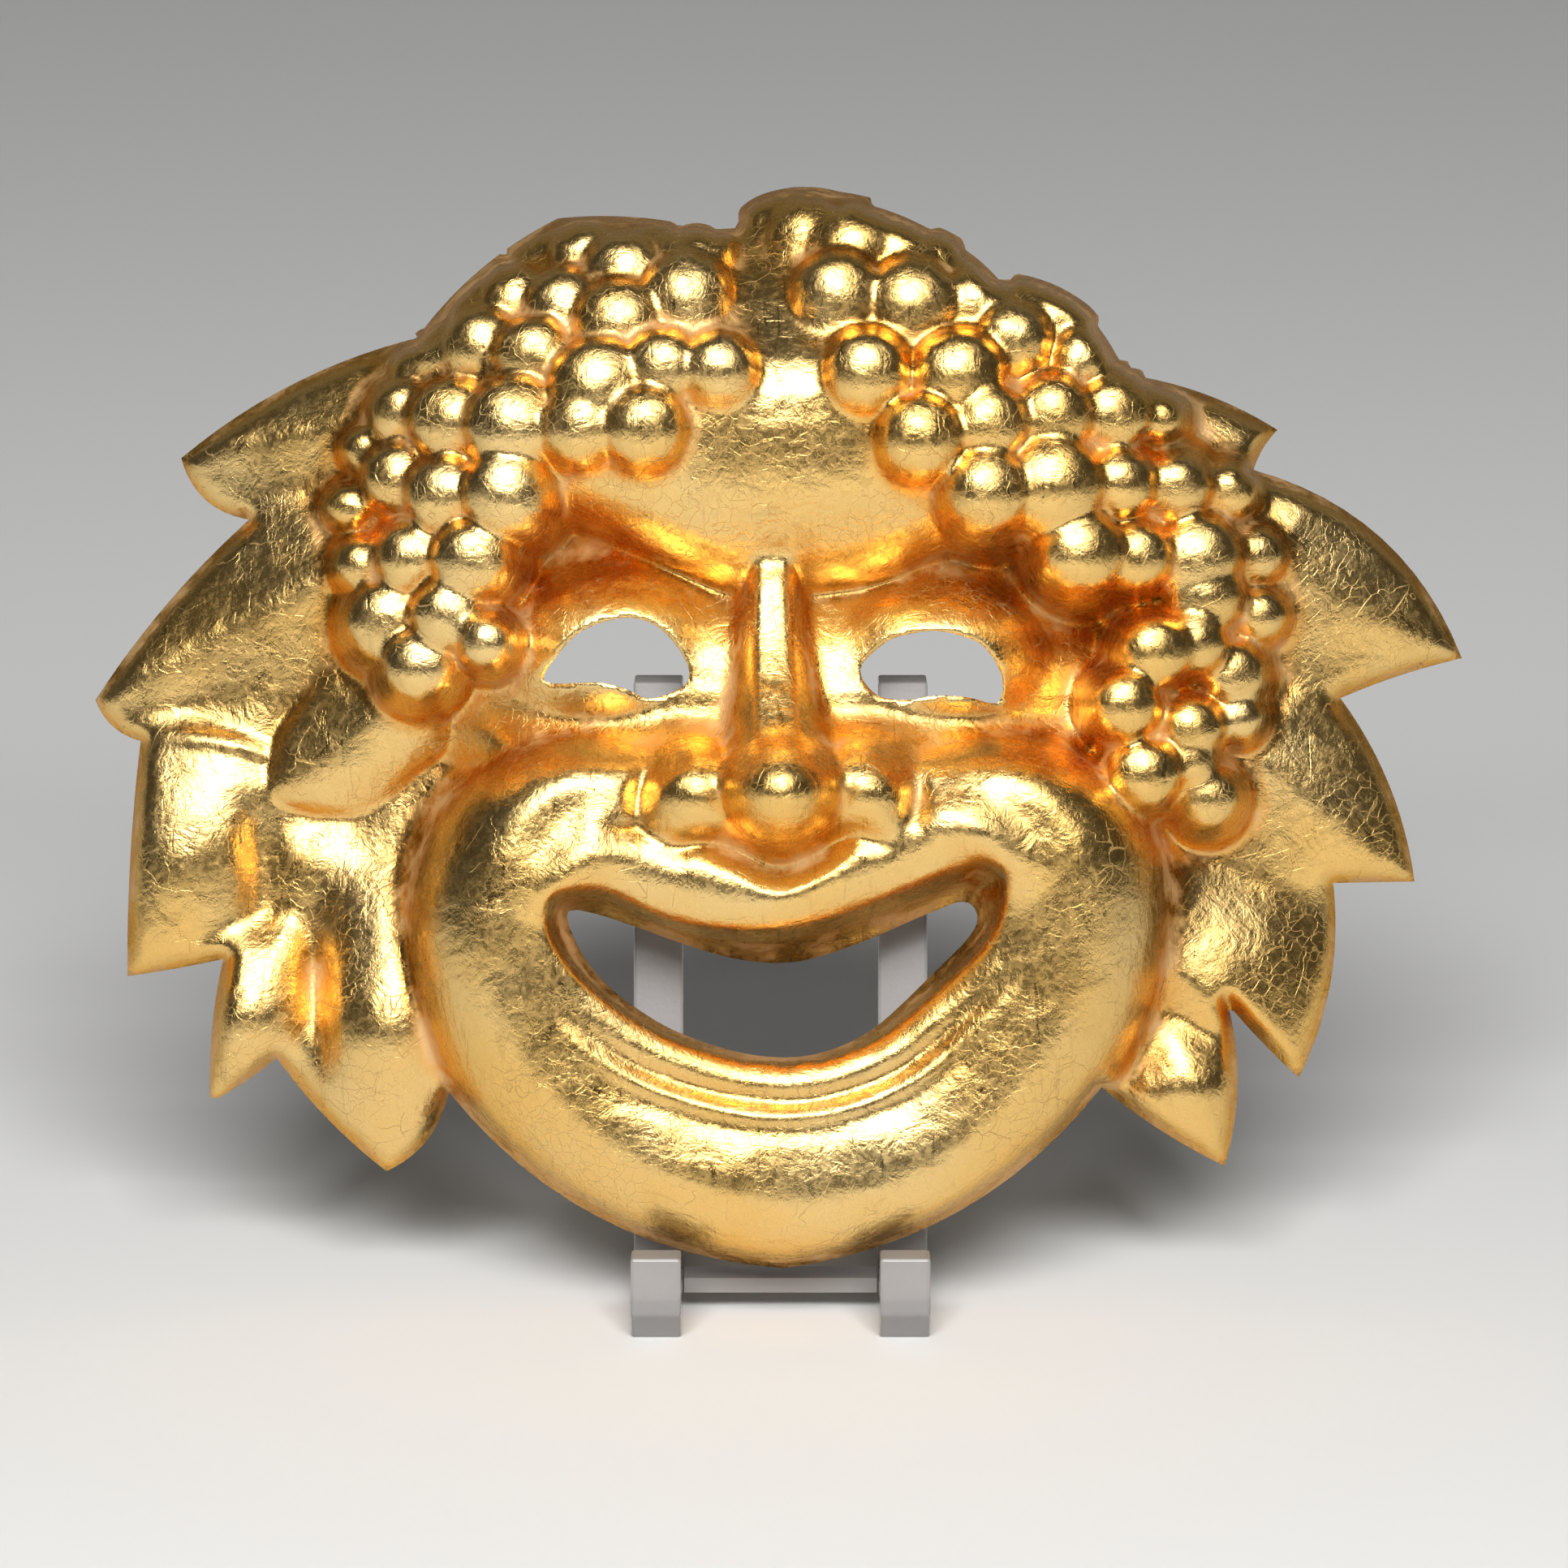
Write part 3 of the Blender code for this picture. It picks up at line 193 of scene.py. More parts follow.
# the face; rolls are points of u, v, top and radius, then how softly they blend in
face = {
    "floor": (76, 28, 46),  # half width, centre v and half height of the sunk floor of the face
    "browRoll": 10,
    "browDrop": 7,
    # height of the brow's foot, how far it falls at the ends of the brow, and from where to where
    "browFoot": (16, 56, 50, 60),
    "browHalf": 62,
    "browLine": [(-56, 62), (-41, 59.2), (-29.3, 54.2), (-19.3, 49.3), (-8.5, 43.6), (1.5, 43.8),
                 (12.3, 45.9), (22.3, 49.3), (32.3, 53.4), (44, 53.5), (56, 50)],
    # v and height down the eye sockets and cheeks
    "profile": [(60, 16), (50, 18), (44, 20.5), (38, 25), (31, 30.5), (26, 33.5), (20, 35), (14, 35.5),
                (9, 39), (5, 42.5), (0, 47), (-6, 50), (-12, 51), (-24, 48)],
    "profileSides": 0.0035,
    # round lumps: centre u, v, half width, half height, top, depth, softness
    "eyelids": [(-34, 26.5, 22, 16, 37.5, 13, 3), (31, 26, 22, 15.5, 37.5, 13, 3)],
    # v, middle u, height, half width of the flat ridge and reach of the sides of the nose
    "nose": [(48, -2.4, 34, 4.6, 8), (42, -2.4, 39, 4.8, 9), (36, -2.4, 41.5, 5.2, 10),
             (28, -2.2, 45.5, 5.6, 11), (18, -1.8, 51.5, 6, 13), (8, -1.2, 59.5, 6.4, 16.5),
             (0, -0.8, 65, 7, 20), (-6, -0.6, 65, 7, 21), (-12, -0.6, 60, 6, 19), (-17, -0.6, 50, 4, 14)],
    # as the eyelids, then how far each leans to face downwards
    "noseLumps": [(-18, -4.5, 12, 12, 57.5, 13, 7, 0.3), (16.5, -4, 12, 12, 57.5, 13, 7, 0.3),
                  (-0.5, -1.5, 11.5, 10.5, 73.5, 13, 5, 0)],
    # the ring of cheeks and chin: u, v, top, width outwards, width inwards
    "cheekRing": [
        (-24, 0, 47, 8, 8), (-40, -2, 52.5, 13, 16), (-52, -10, 54, 16, 20), (-59, -24, 53.5, 17, 22),
        (-58, -41, 53, 17, 24), (-49, -60, 52.5, 16, 26), (-28, -77, 53, 15, 28), (0, -85, 54, 14, 30),
        (28, -78, 53, 15, 28), (48, -60, 53, 16, 26), (58, -42, 53, 17, 24), (61, -24, 54, 17, 22),
        (57, -10, 54.5, 16, 20), (43, -2, 53, 13, 16), (26, 0, 47, 8, 8),
    ],
    "noseLine": [(0, 44), (0, -16)],
    "noseRound": 0.03,  # how fast the ridge falls from its middle
    "noseFall": 34,  # depth of the hollows beside it
    "noseFoot": -17,  # v where it ends
    "noseSide": [(20, 4), (0, 6), (-20, 4)],  # closes the ring under the nose
    "ringDepths": (30, 14),
    "ringFill": 43,
    "fillFalls": [(14, -12, 0), (60, -2, 6)],  # how far the middle falls, and from where to where
    "upperLip": [
        (-47, -20, 50, 5), (-35.9, -17.5, 52.5, 8), (-22.6, -19, 54.5, 11), (-11, -20.5, 55.5, 12),
        (-1, -20.5, 56, 12), (12.3, -17, 55.5, 12), (27.3, -12.5, 54.5, 11), (39.8, -10, 53, 8),
        (46.6, -14, 50, 5),
    ],
    # soft swellings and grooves: points of u, v, amount and width
    "swells": [
        [(-46, 43, 0, 3), (-36, 45, 2.2, 3), (-24, 43, 2.4, 3), (-14, 38, 0, 3)],
        [(-44, 38, 0, 2), (-34, 41, -1.4, 2), (-24, 39, -1.4, 2), (-16, 35, 0, 2)],
        [(12, 40, 0, 3), (22, 43.5, 2.4, 3), (34, 44, 2.2, 3), (46, 40, 0, 3)],
        [(14, 36, 0, 2), (22, 39.5, -1.4, 2), (33, 40, -1.4, 2), (43, 37, 0, 2)],
        [(-28, -4, 0, 6), (-36, -12, 3.0, 7), (-44, -20, 3.0, 7), (-51, -30, 0, 7)],
        [(26, -4, 0, 6), (35, -8, 3.0, 7), (44, -14, 3.0, 7), (53, -23, 0, 7)],
        [(-33, 3, 0, 4), (-45, -6, -1.5, 5), (-54, -20, 0, 5)],
        [(31, 4, 0, 4), (44, -3, -1.5, 5), (56, -14, 0, 5)],
        [(-29, -11, 0, 2), (-29.5, -3, -3, 2.4), (-26.5, 3, -3, 2.4), (-19, 6, 0, 2)],
        [(26, -10, 0, 2), (27, -3, -3, 2.4), (24.5, 3.5, -3, 2.4), (18, 6, 0, 2)],
        [(-25, -15, 0, 2.4), (-17, -11.5, -3, 2.6), (-8, -14, -5, 3), (-1, -17, -6, 3.2), (7, -14, -5, 3),
         (15, -10, -3, 2.6), (24, -14, 0, 2.4)],
        [(-11, 2, 0, 2), (-11.5, -4, -1.8, 2.4), (-8, -11, 0, 2)],
        [(10, 2, 0, 2), (10.5, -4, -1.8, 2.4), (7, -11, 0, 2)],
    ],
    "smallLeaf": {
        "edge": [(-105.5, -2.5), (-104, 9.5), (-99.5, 16), (-93, 26.5), (-86, 31), (-74, 27), (-68, 10),
                 (-76, 2), (-83, -5.5), (-90, -6.5), (-98, -5.5)],
        "blade": ((-106, -3), (-66, 27), [(0, 8), (0.2, 13), (0.6, 19), (1, 24)],
                  (0.50, 0.15), (0.0, -0.02)),
        "roll": 2.2,
    },
    "lipFade": (28, 44),  # how far down the double lower lip begins and is full
    "lipHalf": 54,  # its half width, and how wide its ends are
    "lipEnds": 32,
    # its steps: distance out from the mouth, height
    "lipSteps": [(-2, 0), (1.5, 1.2), (5, 0.8), (8, -1.5), (11, 0.5), (14, -0.9), (18, -0.4), (24, 0)],
}


def softMax(a, b, softness):
    return 0.5 * (a + b + np.sqrt((a - b) ** 2 + softness**2))


def ramp(x, start, end):
    t = np.clip((x - start) / (end - start), 0, 1)
    return t * t * (3 - 2 * t)


def quarterRound(distance, width):
    t = np.clip(distance / width, 0, 1)
    return np.sqrt(1 - (1 - t) ** 2)


def bowedOutline(corners, pieces=12):
    points = []
    for corner, following in zip(corners, corners[1:] + corners[:1]):
        start, end = np.array(corner[:2]), np.array(following[:2])
        along = end - start
        outward = np.array((along[1], -along[0])) / np.hypot(*along)
        for i in range(pieces):
            t = i / pieces
            points.append(start + along * t + outward * corner[2] * 4 * t * (1 - t))
    return np.array(points)


def smoothCurve(points, closed=False, pieces=5):
    # Catmull-Rom through the points; every column is carried along
    p = np.array(points, float)
    if closed:
        p = np.vstack([p[-1], p, p[0], p[1]])
    else:
        p = np.vstack([2 * p[0] - p[1], p, 2 * p[-1] - p[-2]])
    out = []
    for a, b, c, d in zip(p, p[1:], p[2:], p[3:]):
        for t in np.arange(pieces) / pieces:
            out.append(0.5 * (2 * b + (c - a) * t + (2 * a - 5 * b + 4 * c - d) * t**2
                              + (3 * b - a - 3 * c + d) * t**3))
    if not closed:
        out.append(p[-2])
    return np.array(out)


def depthInside(u, v, polygon):
    # distance to a closed polygon, positive inside it
    nearest = np.full(u.shape, 1e9)
    inside = np.zeros(u.shape, bool)
    for (au, av), (bu, bv) in zip(polygon, np.roll(polygon, -1, 0)):
        du, dv = bu - au, bv - av
        t = np.clip(((u - au) * du + (v - av) * dv) / (du * du + dv * dv), 0, 1)
        nearest = np.minimum(nearest, (u - au - t * du) ** 2 + (v - av - t * dv) ** 2)
        if av != bv:
            inside ^= ((av > v) != (bv > v)) & (u < au + (v - av) * du / dv)
    return np.where(inside, 1, -1) * np.sqrt(nearest)


def besideCurve(u, v, curve):
    # distance to an open curve, its further columns at the nearest point, and the side it lies on
    nearest = np.full(u.shape, 1e9)
    columns = np.zeros((curve.shape[1] - 2,) + u.shape)
    side = np.zeros(u.shape)
    for p, q in zip(curve, curve[1:]):
        du, dv = q[0] - p[0], q[1] - p[1]
        t = np.clip(((u - p[0]) * du + (v - p[1]) * dv) / (du * du + dv * dv), 0, 1)
        distance = (u - p[0] - t * du) ** 2 + (v - p[1] - t * dv) ** 2
        closer = distance < nearest
        nearest[closer] = distance[closer]
        side[closer] = np.sign(du * (v - p[1]) - dv * (u - p[0]))[closer]
        for k, column in enumerate(columns):
            column[closer] = (p[2 + k] + (q[2 + k] - p[2 + k]) * t)[closer]
    return np.sqrt(nearest), columns, side


def grapeList():
    # every grape's centre and radius, set along its row in proportion to the radii
    found = []
    for first, middle, last, radii in grapeRows:
        first, middle, last = (np.array(p, float) for p in (first, middle, last))
        steps = [0.0]
        for radius, following in zip(radii, radii[1:]):
            steps.append(steps[-1] + radius + following)
        for radius, step in zip(radii, steps):
            t = step / steps[-1] if steps[-1] else 0.0
            centre = first * (1 - t) * (1 - 2 * t) + middle * 4 * t * (1 - t) + last * t * (2 * t - 1)
            found.append((centre[0], centre[1], radius * maskForm["grapeSwell"]))
    return found


def rimPlane(v):
    return -maskForm["rimTilt"] * v - maskForm["rimDrop"]


def headHeight(u, v):
    # the rounded head: its profile down the middle, drawn out sideways to the rim
    u0, v0, halfWidth, halfHeight, squareness = maskForm["head"]
    profile = smoothCurve(maskForm["crown"], pieces=12)
    middle = np.interp(v, profile[:, 0], profile[:, 1])
    narrowing = np.clip(1 - np.abs((v - v0) / halfHeight) ** squareness, 1e-4, 1) ** (1 / squareness)
    out = np.abs((u - u0) / (halfWidth * narrowing)) ** squareness
    return rimPlane(v) + (middle - rimPlane(v)) * np.sqrt(np.clip(1 - out, 0, 1))


def dents(u, v, size, seed):
    # smooth random hollows and bumps from -1 to 1, on a turned lattice
    lattice = np.random.default_rng(seed).uniform(-1, 1, (128, 128))
    turn = 0.6 + seed
    x = (u * math.cos(turn) - v * math.sin(turn)) / size + 64
    y = (u * math.sin(turn) + v * math.cos(turn)) / size + 64
    i, j = np.floor(x).astype(int), np.floor(y).astype(int)
    s, t = ramp(x - i, 0, 1), ramp(y - j, 0, 1)
    low = lattice[i % 128, j % 128] * (1 - s) + lattice[(i + 1) % 128, j % 128] * s
    high = lattice[i % 128, (j + 1) % 128] * (1 - s) + lattice[(i + 1) % 128, (j + 1) % 128] * s
    return low * (1 - t) + high * t


class Clay:
    # heights over the points u, v, built up roll by roll
    def __init__(self, u, v, heights):
        self.u, self.v, self.heights = u, v, heights

    def near(self, points, reach):
        low = np.min(points, 0)[:2] - reach
        high = np.max(points, 0)[:2] + reach
        found = (self.u > low[0]) & (self.u < high[0]) & (self.v > low[1]) & (self.v < high[1])
        return found, self.u[found], self.v[found]

    def roll(self, points, softness):
        curve = smoothCurve(points)
        found, u, v = self.near(curve, 2 * curve[:, 3].max() + softness)
        distance, (top, radius), _ = besideCurve(u, v, curve)
        out = distance / radius
        crown = np.sqrt(np.clip(1 - out**2, 0, 1)) - 1
        profile = radius * np.where(out < 1, crown, -1 - 4 * (out - 1))
        self.heights[found] = softMax(self.heights[found], top + profile, softness)

    def lump(self, u0, v0, halfWidth, halfHeight, top, depth, softness, lean=0.0):
        found, u, v = self.near([(u0, v0)], 2 * max(halfWidth, halfHeight))
        out = np.sqrt(((u - u0) / halfWidth) ** 2 + ((v - v0) / halfHeight) ** 2)
        crown = np.clip(1 - out**2, 0, 1) ** maskForm["lumpPower"] - 1
        profile = depth * np.where(out < 1, crown, -1 - 4 * (out - 1)) + lean * (v - v0)
        self.heights[found] = softMax(self.heights[found], top + profile, softness)

    def swell(self, points):
        curve = smoothCurve(points)
        found, u, v = self.near(curve, 3 * curve[:, 3].max())
        distance, (amount, width), _ = besideCurve(u, v, curve)
        self.heights[found] += amount * np.exp(-((distance / width) ** 2))

    def blade(self, u, v, tip, root, heights, falls, bends):
        # two facets that meet in a soft ridge from tip to root
        du, dv = root[0] - tip[0], root[1] - tip[1]
        length = np.hypot(du, dv)
        along = ((u - tip[0]) * du + (v - tip[1]) * dv) / length**2
        across = (du * (v - tip[1]) - dv * (u - tip[0])) / length
        spine = smoothCurve(heights)
        ridge = np.interp(along, spine[:, 0], spine[:, 1]) + 20 * np.minimum(along, 0)
        fall = np.where(across > 0, falls[0], falls[1]) * (np.sqrt(across**2 + 4) - 2)
        bend = np.where(across > 0, bends[0], bends[1]) * across**2
        return ridge + 1 - maskForm["rimTilt"] * v - fall + bend

    def leaf(self, tip, root, *form):
        found, u, v = self.near([tip, root], maskForm["leafReach"])
        self.heights[found] = softMax(self.heights[found], self.blade(u, v, tip, root, *form), 1.5)

    def petal(self, edge, blade, roll):
        # a leaf laid on the surface, with an edge of its own
        found, u, v = self.near(edge, 2)
        inside = quarterRound(depthInside(u, v, smoothCurve(edge, closed=True, pieces=3)), roll)
        self.heights[found] += (self.blade(u, v, *blade) - self.heights[found]) * inside


def edgeDistance(u, v):
    # positive on the mask; the grapes on the rim bulge its outline
    plain = depthInside(u, v, bowedOutline(outline))
    depth = plain
    lowest, share = maskForm["rimGrapes"]
    for gu, gv, radius in grapeList():
        if gv > lowest or abs(gu - maskForm["head"][0]) > share * maskForm["head"][2]:
            bulge = radius - np.hypot(u - gu, v - gv)
            depth = np.maximum(depth, np.minimum(bulge, plain + maskForm["rimBulge"]))
    return depth


def openingDepth(u, v):
    curves = [smoothCurve(points, closed=True) for points in openings.values()]
    return np.maximum.reduce([depthInside(u, v, curve) for curve in curves])


def carve(u, v):
    v0, halfWidth, halfHeight, rise = maskForm["collar"]
    collar = np.clip(1 - (u / halfWidth) ** 2 - ((v - v0) / halfHeight) ** 2, -0.3, 1)
    clay = Clay(u, v, rise * collar - 3 - maskForm["rimTilt"] * v)
    for leaf in leaves:
        clay.leaf(*leaf)
    for points in leafSwells:
        clay.swell(points)
    carveForehead(clay)
    clay.petal(**face["smallLeaf"])
    for lump in face["eyelids"]:
        clay.lump(*lump)
    carveMuzzle(clay)
    carveNose(clay)
    clay.roll(face["upperLip"], 4)
    for points in face["swells"]:
        clay.swell(points)
    carveLowerLip(clay)
    carveGrapes(clay)
    carveMouthWall(clay)
    for seed, (size, depth) in enumerate(maskForm["dents"]):
        clay.heights += depth * dents(u, v, size, seed)
    edge = rimPlane(v) + maskForm["wall"] + maskForm["frontLift"]
    above = softMax(clay.heights - edge, maskForm["frontRise"], 1.0)
    return edge + above * quarterRound(edgeDistance(u, v), maskForm["rimRoll"])


def carveForehead(clay):
    # the floor of the face, the crown, and the forehead whose brow hangs over the floor
    u, v, heights = clay.u, clay.v, clay.heights
    halfWidth, v0, halfHeight = face["floor"]
    inside = ramp(1 - (u / halfWidth) ** 2 - ((v - v0) / halfHeight) ** 2, -0.15, 0.30)
    floor = smoothCurve(face["profile"][::-1], pieces=12)
    floor = np.interp(v, floor[:, 0], floor[:, 1]) - face["profileSides"] * u**2
    heights = heights * (1 - inside) + floor * inside
    line = smoothCurve(face["browLine"])
    above = v - np.interp(u, line[:, 0], line[:, 1]) + face["browDrop"]
    profile = smoothCurve(maskForm["forehead"], pieces=12)
    panel = np.interp(v, profile[:, 0], profile[:, 1]) - maskForm["foreheadSides"] * u**2
    panel = np.minimum(panel, headHeight(u, v) - maskForm["foreheadSink"])
    height, fall, start, end = face["browFoot"]
    foot = height - fall * ramp(np.abs(u), start, end)
    brow = softMax(heights, foot + (panel - foot) * quarterRound(above, face["browRoll"]), 1.0)
    clay.heights = np.where((above > 0) & (np.abs(u) < face["browHalf"]), brow, heights)


def carveMuzzle(clay):
    # the ring of cheeks and chin with its filled middle and the folds of the smile
    curve = smoothCurve(face["cheekRing"])
    distance, (top, outward, inward), side = besideCurve(clay.u, clay.v, curve)
    outerDepth, innerDepth = face["ringDepths"]
    out = distance / np.where(side > 0, inward, outward)
    drop = np.where(out < 1, 1 - np.sqrt(np.clip(1 - out**2, 0, 1)), 1 + 2 * (out - 1))
    ring = top - np.where(side > 0, innerDepth, outerDepth) * drop
    clay.heights = softMax(clay.heights, np.where(out < 2.5, ring, maskForm["nowhere"]), 5)
    around = [point[:2] for point in face["cheekRing"]] + face["noseSide"]
    middle = smoothCurve(around, closed=True)
    outside = -depthInside(clay.u, clay.v, middle)
    fill = face["ringFill"]
    for fall, start, end in face["fillFalls"]:
        fill = fill - fall * ramp(outside, start, end)
    clay.heights = softMax(clay.heights, fill, 5)


def carveNose(clay):
    # a ridge with hollow sides that run out into the face
    found, u, v = clay.near(face["noseLine"], 30)
    sections = smoothCurve(face["nose"][::-1], pieces=12)
    middle, height, flat, reach = (np.interp(v, sections[:, 0], sections[:, i]) for i in (1, 2, 3, 4))
    aside = np.abs(u - middle)
    side = 1 - np.exp(-((np.maximum(aside - 0.6 * flat, 0) / (0.55 * reach)) ** 2))
    ridge = height - face["noseRound"] * aside**2 - face["noseFall"] * side
    ridge -= 3 * np.maximum(aside - 1.4 * reach, 0)
    ridge -= 4 * np.maximum(face["noseFoot"] - v, 0)
    clay.heights[found] = softMax(clay.heights[found], ridge, 3)
    for lump in face["noseLumps"]:
        clay.lump(*lump)


def carveLowerLip(clay):
    out = -depthInside(clay.u, clay.v, smoothCurve(mouthFront, closed=True))
    below = ramp(-clay.v, *face["lipFade"]) * ramp(face["lipHalf"] - np.abs(clay.u), 0, face["lipEnds"])
    steps = smoothCurve(face["lipSteps"], pieces=8)
    clay.heights = clay.heights + np.interp(out, steps[:, 0], steps[:, 1]) * below


def carveGrapes(clay):
    # every grape half sunk in the bed that the cluster lies in
    around = headHeight(clay.u, clay.v)
    bed = np.full(around.shape, maskForm["nowhere"])
    skins = np.full(around.shape, maskForm["nowhere"])
    for gu, gv, radius in grapeList():
        found, u, v = clay.near([(gu, gv)], 2.2 * radius)
        distance = np.hypot(u - gu, v - gv)
        seat = headHeight(np.array(gu), np.array(gv)) + maskForm["bedRise"]
        seat = max(seat, rimPlane(gv) + 0.5 * radius)
        edge = np.clip(distance / (maskForm["bedReach"] * radius), 0, 1.6)
        ground = 0.6 * around[found] + 0.4 * seat + maskForm["bedRise"] - maskForm["bedFall"] * edge**4
        bed[found] = softMax(bed[found], ground, 2)
        dome = np.clip(1 - (distance / (maskForm["skinReach"] * radius)) ** 2, 0, 1)
        top = seat + maskForm["grapeHeight"] * radius * dome ** maskForm["grapePower"]
        skin = np.where(dome > 0, top, maskForm["nowhere"])
        skins[found] = np.maximum(skins[found], skin)
    for layer, softness in ((bed, 2), (skins, 1.7)):
        there = layer > -40
        clay.heights[there] = softMax(clay.heights[there], layer[there], softness)


def carveMouthWall(clay):
    # the lips turn in and run back to the edge of the opening
    front = depthInside(clay.u, clay.v, smoothCurve(mouthFront, closed=True))
    back = -depthInside(clay.u, clay.v, smoothCurve(openings["mouth"], closed=True))
    wayIn = np.clip(front / (front + np.maximum(back, 0) + 1e-6), 0, 1)
    lean = maskForm["mouthLean"]
    clay.heights -= maskForm["mouthWall"] * (lean + (1 - lean) * wayIn) * ramp(front, 0, 1.2)


def shifted(values, rows, columns, empty):
    moved = np.full(values.shape, empty)
    target, source = [], []
    for steps, length in zip((rows, columns), values.shape):
        target.append(slice(max(steps, 0), length + min(steps, 0)))
        source.append(slice(max(-steps, 0), length + min(-steps, 0)))
    moved[tuple(target)] = values[tuple(source)]
    return moved


def smoothed(values, kept, rounds):
    for _ in range(rounds):
        total, count = np.zeros(values.shape), np.zeros(values.shape)
        for i, j in ((0, 1), (1, 0), (0, -1), (-1, 0)):
            there = shifted(kept.astype(float), i, j, 0.0)
            total += shifted(np.where(kept, values, 0.0), i, j, 0.0) * there
            count += there
        around = np.where(count > 0, total / np.maximum(count, 1), values)
        values = 0.4 * values + 0.6 * around
    return values


def insideOf(u, v, front, kept):
    # the inside of the shell: one wall behind the front, measured square to it, then smoothed
    wall = maskForm["wall"]
    reach = int(wall / maskForm["gridStep"]) + 1
    offset = np.where(kept, front - wall, 1e3)
    for i in range(-reach, reach + 1):
        for j in range(-reach, reach + 1):
            distance = np.hypot(u - shifted(u, i, j, 1e4), v - shifted(v, i, j, 1e4))
            drop = np.sqrt(np.clip(wall**2 - distance**2, 0, None))
            behind = shifted(np.where(kept, front, 1e3), i, j, 1e3) - drop
            offset = np.where(kept & (distance < wall), np.minimum(offset, behind), offset)
    inner = np.minimum(smoothed(offset, kept, maskForm["insideRounds"]), offset)
    return np.maximum(inner, rimPlane(v))


def snapped(u, v, distance, onEdge):
    nudge = 0.05
    for _ in range(3):
        here = distance(u[onEdge], v[onEdge])
        slopeU = (distance(u[onEdge] + nudge, v[onEdge]) - here) / nudge
        slopeV = (distance(u[onEdge], v[onEdge] + nudge) - here) / nudge
        steepness = np.maximum(slopeU**2 + slopeV**2, 0.25)
        u[onEdge] -= here * slopeU / steepness
        v[onEdge] -= here * slopeV / steepness
    for cornerU, cornerV, _ in outline:
        away = np.where(onEdge, np.hypot(u - cornerU, v - cornerV), 1e9)
        nearest = np.unravel_index(np.argmin(away), away.shape)
        if away[nearest] < maskForm["gridStep"]:
            u[nearest], v[nearest] = cornerU, cornerV
    return u, v


def alongSight(u, v, w):
    # from the carving's frame to metres, drawn in along the sight lines, w towards -Y
    draw = 1 - (w + maskForm["rimDrop"]) / view["distance"]
    return np.stack([u * draw, -w, v * draw], -1) * 0.001


def buildMask():
    step = maskForm["gridStep"]
    half, low, high = maskForm["gridHalf"], maskForm["gridLow"], maskForm["gridHigh"]
    columns, rows = int(2 * half / step) + 1, int((high - low) / step) + 1
    bm = bmesh.new()
    bmesh.ops.create_grid(bm, x_segments=columns - 1, y_segments=rows - 1, size=0.5)
    flat = np.array([vertex.co for vertex in bm.verts])
    u = (flat[:, 0] * 2 * half).reshape(rows, columns)
    v = (low + (flat[:, 1] + 0.5) * (high - low)).reshape(rows, columns)

    def distance(atU, atV):
        return np.minimum(edgeDistance(atU, atV), -openingDepth(atU, atV))

    # points just off the edge stay and are moved onto it; those of no whole cell go
    kept = distance(u, v) > -0.35 * step
    for _ in range(2):
        cells = kept[:-1, :-1] & kept[1:, :-1] & kept[:-1, 1:] & kept[1:, 1:]
        kept = np.zeros(kept.shape, bool)
        around = np.zeros(kept.shape, int)
        for i in (0, 1):
            for j in (0, 1):
                kept[i:rows - 1 + i, j:columns - 1 + j] |= cells
                around[i:rows - 1 + i, j:columns - 1 + j] += cells
    onEdge = kept & (around < 4)
    u, v = snapped(u, v, distance, onEdge)
    front = smoothed(carve(u.ravel(), v.ravel()).reshape(u.shape), kept, 2)
    inner = insideOf(u, v, front, kept)
    print("mask carved,", int(cells.sum()), "cells")

    # how far each point lies below its smoothed surroundings; the finish paints reflection and shade into
    # these hollows, and wears the leaf there
    filled = np.where(kept, front, 0.0)
    hollow = smoothed(filled, kept, maskForm["hollowRounds"]) - filled
    hollow = np.clip(hollow / maskForm["hollowDepth"], -1, 1)

    points = alongSight(u, v, front).reshape(-1, 3)
    back = alongSight(u, v, inner).reshape(-1, 3)
    numbers = bm.verts.layers.int.new("number")
    hollowLayer = bm.verts.layers.float.new("hollow")
    insideLayer = bm.verts.layers.float.new("inside")
    hollow = hollow.ravel()
    for vertex in bm.verts:
        i = vertex.index
        vertex[numbers] = i
        vertex.co = points[i]
        vertex[hollowLayer] = hollow[i]
    outside = []
    for cell in bm.faces:
        corner = min(vertex[numbers] for vertex in cell.verts)
        if not cells[corner // columns, corner % columns]:
            outside.append(cell)
    bmesh.ops.delete(bm, geom=outside, context="FACES")
    if sum(cell.normal.y for cell in bm.faces) > 0:
        bmesh.ops.reverse_faces(bm, faces=bm.faces[:])
    extruded = bmesh.ops.extrude_face_region(bm, geom=bm.faces[:])["geom"]
    for vertex in (item for item in extruded if isinstance(item, bmesh.types.BMVert)):
        vertex.co = back[vertex[numbers]]
        vertex[insideLayer] = 1.0
    bmesh.ops.recalc_face_normals(bm, faces=bm.faces[:])
    bm.verts.layers.int.remove(numbers)
    return bm


def pieceFrom(bm, name, finish):
    mesh = bpy.data.meshes.new(name)
    bm.to_mesh(mesh)
    bm.free()
    mesh.materials.append(finish)
    mesh.shade_smooth()
    made = bpy.data.objects.new(name, mesh)
    bpy.context.scene.collection.objects.link(made)
    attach(made, "root")
    return made


def thinInside(piece):
    # the plain inside needs fewer triangles than the front
    group = piece.vertex_groups.new(name="inside")
    layer = piece.data.attributes["inside"].data
    group.add([i for i, value in enumerate(layer) if value.value > 0.5], 1.0, "REPLACE")
    thin = piece.modifiers.new("thin", "DECIMATE")
    thin.vertex_group = group.name
    thin.ratio = 0.5 + 0.5 * maskForm["insideKept"]


